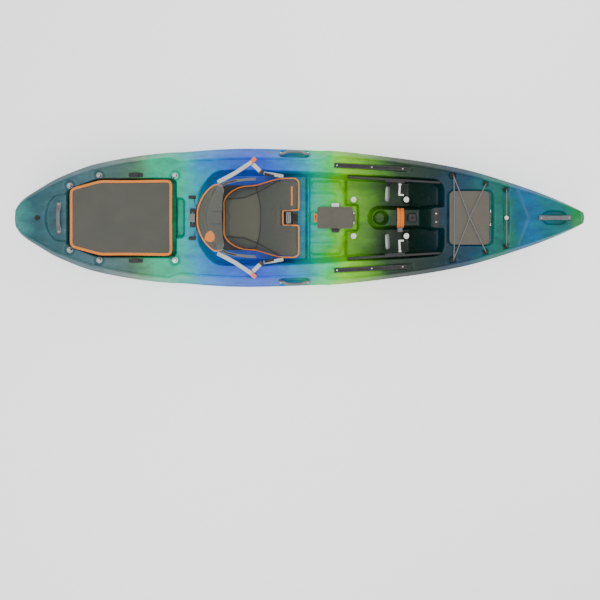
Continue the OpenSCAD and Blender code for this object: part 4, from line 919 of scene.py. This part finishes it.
# Rear well cover: stretched mesh in a piped hem
def buildCover():
    cover = {"level": 360.6, "sag": 4.0, "hem": 15.0, "points": [(-1318, 166.6), (-1146, 215), (-733, 215)]}
    outline = np.array(cover["points"] + [(x, -y) for x, y in cover["points"][::-1]], float)
    rim = smoothPath(np.column_stack([outline, np.full(len(outline), cover["level"])]), 400, True, 26)
    middle = rim.mean(0)
    away = rim - middle
    reach = np.linalg.norm(away[:, :2], axis=1)[:, None]
    inner = rim - away / reach * (cover["hem"] - 1.5)
    share = np.linspace(1, 0, 60)[:, None, None]
    sheet = middle + (inner - middle)[None] * share
    pull = 1 - share[..., 0] ** 2
    sheet[..., 2] -= cover["sag"] * pull
    turn = np.linspace(0, 2 * math.pi, 400, endpoint=False)
    sheet[..., 2] += .9 * np.sin(turn * 21)[None] * np.exp(-((1 - share[..., 0]) / .07) ** 2)
    made = makeMesh("wellCover", sheet, gridFaces(60, 400, wrapCols=True, flip=True), mats["mesh"], "hull")
    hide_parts("well_cover")
    step = rim - away / reach * (cover["hem"] / 2)
    hem = sweep("coverPiping", step, (cover["hem"] / 2, 2.9), mats["piping"], "hull", "orange_piping",
                closed=True, around=16, power=2.6)
    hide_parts("cover_piping")


buildCover()
print("well cover built")


# ---------- carry handles
def buildHandle(name, node, place, rise):
    # feet, two bends and a raised grip that thickens towards its middle
    grip = {"width": 13.5, "thin": 3.4, "thick": 6.4}
    top = rise - grip["thin"] - 1.5
    side = [(-91, 3.5), (-68, 3.5), (-62, 4.4), (-42, top - 1.5), (-36, top), (0, top + 1)]
    side += [(-a, b) for a, b in side[-2::-1]]
    run = np.array(side, float)
    path = smoothPath(np.column_stack([run[:, 0], 0 * run[:, 0], run[:, 1]]), 90, False, 3)
    t = np.clip((50 - np.abs(path[:, 0])) / 22, 0, 1)
    t = t * t * (3 - 2 * t)
    ribs = .5 * np.sin(path[:, 0] * 2 * math.pi / 8) * (np.abs(path[:, 0]) < 34)
    high = grip["thin"] + (grip["thick"] - grip["thin"]) * t + ribs
    radii = np.stack([grip["width"] - 2.2 * t + ribs, high], -1)
    turned = np.array(place.to_3x3())
    path = path @ turned.T + np.array(place.translation)
    made = sweep(name, path, radii, mats["grey"], "hull", "grey_plastic", side=turned[:, 2],
                 around=24, power=3)
    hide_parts(node)


def spot(x, y, z):
    return Matrix.Translation((x, y, z))


buildHandle("bowGrip", "bow_handle", spot(1452.4, 0, 380.3), 26)
buildHandle("sternGrip", "stern_handle", spot(-1384, 0, 348.8) @ Matrix.Rotation(math.pi / 2, 4, "Z"), 24)
sideRow = {"x": -32.0, "z": 299.1, "lean": 54.0, "stand": 4.8}
foldLine = depth * curve(creaseLine, -32.0) + curve(shelfLine, -32.0)
faceY = halfAt(-32.0) - curve(shelfLine, -32.0) * .8
faceY += (ridgeY(-32.0) - faceY) * (sideRow["z"] - foldLine) / (ridgeZ(-32.0) - foldLine)
for name, part, s in (("portGrip", "port_handle", 1), ("starboardGrip", "starboard_handle", -1)):
    place = spot(sideRow["x"], s * (float(faceY) - 2), sideRow["z"])
    place = place @ Matrix.Rotation(-s * math.radians(sideRow["lean"]), 4, "X") @ spot(0, 0, sideRow["stand"])
    buildHandle(name, part, place, 22)
print("handles built")


# ---------- webbing, cords and loops
def strip(name, points, width, thick, mat, body, slot, side=(0, 0, 1), count=60, passes=3):
    path = smoothPath(points, count, False, passes)
    return sweep(name, path, (width / 2, thick / 2), mat, body, slot, side=side, around=14, power=4)


def cordAlong(name, points, radius, mat, body, slot, count=120, passes=3):
    path = smoothPath(points, count, False, passes)
    return sweep(name, path, (radius, radius), mat, body, slot, around=12, side=(.3, .1, 1))


pairs = (("Port", 1), ("Starboard", -1))
sideWeb = {"width": 24.0, "thick": 2.2}
for label, s in pairs:
    corner, anchor = np.array([-458, s * 196, 482.0]), np.array([-278, s * 319.6, 353.0])
    drop = anchor * .5 + corner * .5 + np.array([4, -s * 3, -5.0])
    made = strip("sideStrap" + label, [corner, (corner + drop) / 2, drop, (drop + anchor) / 2, anchor],
                 sideWeb["width"], sideWeb["thick"], mats["strapPale"], None, "grey_webbing",
                 (.25, -.3 * s, 1))
    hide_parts("side_straps")
    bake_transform(made)
    front = np.array([-270, s * 307.6, 353.0])
    mid = np.array([-224, s * 263, 351.0])
    made = strip("frontStrap" + label, [front, (front + mid) / 2 + (0, 0, -1), mid], sideWeb["width"],
                 sideWeb["thick"], mats["strapPale"], "hull", "grey_webbing", (.2, .1, 1))
    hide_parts("front_straps")
    end = np.array([-97.4, s * 242.2, 295.0])
    near = np.array([-208, s * 255, 350.0])
    made = strip("cushionStrap" + label, [near, near * .55 + end * .45 + (0, s * 2, -4), end], 20, 2.0,
                 mats["strapPale"], "hull", "grey_webbing", (.2, .1, 1))
    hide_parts("front_straps")
    tail = [(-204, s * 252, 354), (-176, s * 246, 345), (-150, s * 240, 330)]
    made = strip("strapTail" + label, tail, 16, 1.8, mats["strapBlack"], "hull", "black_webbing",
                 (.3, .1, 1), 24)
    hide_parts("front_straps")
    # lacing from the spine down to the deck cleats
    start, bend = np.array([-557, s * 26, 495.0]), np.array([-582, s * 70, 455.0])
    last = np.array([-608, s * 105.3, 350.0])
    made = cordAlong("rearCord" + label, [start, bend, (bend + last) / 2 + (-3, s * 2, -2), last], 2.5,
                     mats["cordBlack"], None, "cord_black")
    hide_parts("rear_cords")
    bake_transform(made)
    # padded side band from the back pad round the cushion, with pale webbing along its top
    way = np.array([(-452, s * 172, 470), (-425, s * 196, 415), (-380, s * 211, 360), (-320, s * 221, 318),
                    (-262, s * 226, 300)], float)
    tall = np.interp(np.linspace(0, 1, 80), [0, .5, 1], [34, 27, 12])
    path = smoothPath(way, 80, False, 4)
    made = sweep("sideBolster" + label, path, np.stack([np.full(80, 6.0), tall], -1),
                 mats["strapBlack"], None, "black_webbing", side=(.45, 0, 1), around=24, power=3)
    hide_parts("side_straps")
    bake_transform(made)
    rim = path + np.array([.4, 0, 1]) * tall[:, None] * .93
    made = sweep("bolsterWeb" + label, rim, (8, 1.3), mats["cordGrey"], None, "grey_webbing",
                 around=12, power=4)
    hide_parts("side_straps")
    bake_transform(made)
print("seat webbing built")

made = strip("liftStrap", [(-101, 0, 249.6), (-70, 0, 267), (-33, 0, 288.4), (-22, 0, 290.6), (-13, 0, 288)],
             40, 3.2, mats["strapBlack"], "hull", "black_webbing", (0, 0, 1), 50, 1)
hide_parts("lift_strap")
arc = np.linspace(math.pi, 0, 25)
for name, shift, high, wide in (("bottleBandAft", -9, 22.6, 20), ("bottleBandFore", 12, 23.6, 19)):
    hoop = np.stack([595 + shift + 0 * arc, 56.6 * np.cos(arc), 206.3 + high * np.sin(arc) ** .8], -1)
    made = sweep(name, smoothPath(hoop, 90, False, 2), (1.3, wide / 2), mats["strapOrange"], "hull",
                 "orange_webbing", side=(1, 0, 0), around=14, power=4)
    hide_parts("bottle_strap")
keeper = np.stack([np.full(40, 1181.0), np.linspace(-163.6, 163.6, 40), np.full(40, 366.6)], -1)
made = sweep("keeperCord", keeper, (3, 3), mats["cordGrey"], "hull", "cord_grey", around=12)
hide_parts("keeper_cord")
for label, s in pairs:
    for name, hook, inner in (("aft", (-1320, 184.2, 366), (-1300, 166, 361)),
                              ("mid", (-1152, 243, 363), (-1150, 214, 361)),
                              ("fore", (-719.9, 243, 352), (-748, 206, 361))):
        a, b = np.array(hook, float) * (1, s, 1), np.array(inner, float) * (1, s, 1)
        way = (a - b) / np.linalg.norm(a - b)
        over = np.cross(way, (0, 0, 1)) * 5.5
        tail = b - way * 2
        loop = [tail + over * .4, b + over, a + over, a + way * 6.5, a - over, b - over, tail - over * .4]
        made = cordAlong(name + "Loop" + label, loop, 1.7, mats["cordBlack"], "hull", "cord_black", 70, 3)
        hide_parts("cover_loops")
print("cords built")


# Shock cords over the bow lid: each half bends between its pad eye and the lid
crossing = np.array([972.1, 0, 358.3])
for label, s in pairs:
    for end, eye in (("Aft", (879.5, 243.8, 351.7)), ("Fore", (1067.0, 197.7, 360.4))):
        tip = np.array(eye) * (1, s, 1)
        edge = tip * (157 / abs(eye[1])) + crossing * (1 - 157 / abs(eye[1]))
        edge[2] = 358.3
        made = cordAlong("lidCord" + end + label, [crossing, edge * .9 + crossing * .1, edge, tip], 3,
                         mats["cordGrey"], None, "cord_grey", 90, 2)
        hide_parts("bow_shock_cord")
        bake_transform(made)
    tip = np.array([883.5, s * 237.8, 351.7])
    edge = np.array([883.5, s * 156.5, 358.3])
    made = cordAlong("crossCord" + label, [(883.5, 0, 358.3), edge * (1, .9, 1), edge, tip], 3,
                     mats["cordGrey"], None, "cord_grey", 80, 2)
    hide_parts("bow_shock_cord")
    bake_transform(made)
print("shock cords built")


# ---------- foot pads: ribbed ovals that lean back on their arms
def buildFootPad(label, s):
    pad = {"width": 90.0, "height": 100.0, "thick": 8.0, "lean": 15.0, "ribs": 16.0}
    rows, cols = 60, 56
    angle = np.linspace(0, 2 * math.pi, cols, endpoint=False)
    c, k = np.cos(angle), np.sin(angle)
    p = 2 / 3.4
    wide = np.sign(c) * np.abs(c) ** p * pad["width"] / 2
    high = np.sign(k) * np.abs(k) ** p * pad["height"] / 2
    share = np.sin(np.linspace(0, math.pi, rows))[:, None]
    level = -np.cos(np.linspace(0, math.pi, rows))[:, None]
    level = np.sign(level) * np.abs(level) ** .35 * pad["thick"]
    share = np.clip(share, 0, 1) ** .55
    across, tall = wide * share, high * share
    groove = np.where(level < 0, 1.9 * np.clip(np.cos(tall * 2 * math.pi / pad["ribs"]), 0, 1) ** 2
                      * (np.abs(across) < 33) * (np.abs(tall) < 42), 0)
    x = level + groove + 1.2 * (across / 45) ** 2 * (level < 0) * -1
    a = math.radians(pad["lean"])
    local = np.stack([x * math.cos(a) - tall * math.sin(a), across, x * math.sin(a) + tall * math.cos(a)], -1)
    local = local + np.array([0, -86, -50.0])
    t = math.radians(-3.32)
    turned = np.stack([local[..., 0] * math.cos(t) - local[..., 1] * math.sin(t),
                       local[..., 0] * math.sin(t) + local[..., 1] * math.cos(t), local[..., 2]], -1)
    points = (turned + np.array([519.0, 226.3, 309.3])) * (1, s, 1)
    made = makeMesh("footPad" + label, points, gridFaces(rows, cols, wrapCols=True, flip=s > 0),
                    mats["palePad"], "peg_" + label.lower())
    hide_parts("foot_pad_" + label.lower())


for label, s in pairs:
    buildFootPad(label, s)
print("foot pads built")


# ---------- fitted parts that stay as drawn: finish and softened edges
def finishEdges(name, mat, width):
    # weld, dissolve flat triangles, then a small rounding on sharp edges
    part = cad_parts[name]
    part.data.materials.clear()
    part.data.materials.append(mat)
    weld = part.modifiers.new("weld", "WELD")
    weld.merge_threshold = .00002
    flat = part.modifiers.new("flat", "DECIMATE")
    flat.decimate_type = "DISSOLVE"
    flat.angle_limit = math.radians(1)
    bevel = part.modifiers.new("bevel", "BEVEL")
    bevel.width = width * mm
    bevel.segments = 3
    bevel.limit_method = "ANGLE"
    bevel.angle_limit = math.radians(35)
    bevel.harden_normals = True


keptParts = {
    "skid_plate": ("black", 2), "seat_foam_block": ("foam", 2), "drain_plug": ("black", .8),
    "rail_port": ("black", .5), "rail_starboard": ("black", .5), "rail_screws": ("steel", .4),
    "handle_screws": ("steel", .5), "track_screws": ("steel", .4), "console_screws": ("steel", .4),
    "foot_track_port": ("black", .6), "foot_track_starboard": ("black", .6),
    "peg_carriage_port": ("black", .9), "peg_carriage_starboard": ("black", .9),
    "lock_lever_port": ("white", 1.2), "lock_lever_starboard": ("white", 1.2),
    "centre_lid": ("lid", 1.5), "centre_hinge_pin": ("steel", .4),
    "latch_port": ("white", .8), "latch_starboard": ("black", .8), "lid_pull_tab": ("orange", .8),
    "strap_tab": ("grey", 1), "accessory_socket": ("black", .8), "console_plate": ("black", 1.2),
    "bow_lid": ("lid", 2.5), "bow_gasket": ("rubber", .5), "bow_hinge_pin": ("steel", .4),
    "bow_eyes": ("black", .8), "cover_hooks": ("steel", .8), "side_clips": ("black", 1),
    "cord_cleats": ("black", .8), "webbing_bracket": ("black", 1.2), "anchor_clips": ("orange", 1.5),
    "seat_pan": ("black", 1.5), "lift_buckle": ("palePad", .8), "back_spine": ("spine", 1.5),
    "back_hinge_pin": ("steel", .6), "back_brackets": ("black", 1.2), "back_shell": ("black", 1),
    "strap_buckles": ("black", 1.2), "toggle_ball": ("white", .1),
}
for name, (finish, width) in keptParts.items():
    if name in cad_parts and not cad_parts[name].hide_render:
        finishEdges(name, mats[finish], width)
print("fitted parts finished")


# ---------- floor and light
def light(name, place, aim, size, power, tint=(1, 1, 1)):
    lamp = bpy.data.lights.new(name, "AREA")
    lamp.shape = "RECTANGLE"
    lamp.size, lamp.size_y = size
    lamp.energy = power
    lamp.color = tint
    made = bpy.data.objects.new(name, lamp)
    made.location = place
    direction = np.array(aim, float) - np.array(place, float)
    yaw, pitch = math.atan2(direction[1], direction[0]), math.atan2(-direction[2], math.hypot(*direction[:2]))
    turn = Matrix.Rotation(yaw, 4, "Z") @ Matrix.Rotation(pitch - math.pi / 2, 4, "Y")
    made.matrix_world = Matrix.Translation(place) @ turn
    bpy.context.collection.objects.link(made)


floorMesh = bpy.data.meshes.new("floor")
floorMesh.from_pydata([(-20, -20, 0), (20, -20, 0), (20, 20, 0), (-20, 20, 0)], [], [(0, 1, 2, 3)])
floorMat = bpy.data.materials.new("floor")
floorMat.use_nodes = True
floorShader = floorMat.node_tree.nodes["Principled BSDF"].inputs
floorShader["Base Color"].default_value = (.86, .86, .86, 1)
floorShader["Roughness"].default_value = .9
floorShader["Emission Color"].default_value = (1, 1, 1, 1)
floorShader["Emission Strength"].default_value = .9
floorMesh.materials.append(floorMat)
floor = bpy.data.objects.new("floor", floorMesh)
bpy.context.collection.objects.link(floor)
light("above", (-.6, -1.2, 3.6), (0, 0, .2), (4.5, 2.2), 90)
light("fill", (1.2, 2.6, 2.4), (0, 0, .3), (4, 1.6), 45)
light("bowSide", (3.6, -1.0, 1.8), (.4, 0, .3), (1.6, 1.6), 22)
world = bpy.data.worlds.new("studio")
world.use_nodes = True
world.node_tree.nodes["Background"].inputs["Color"].default_value = (1, 1, 1, 1)
world.node_tree.nodes["Background"].inputs["Strength"].default_value = .85
bpy.context.scene.world = world
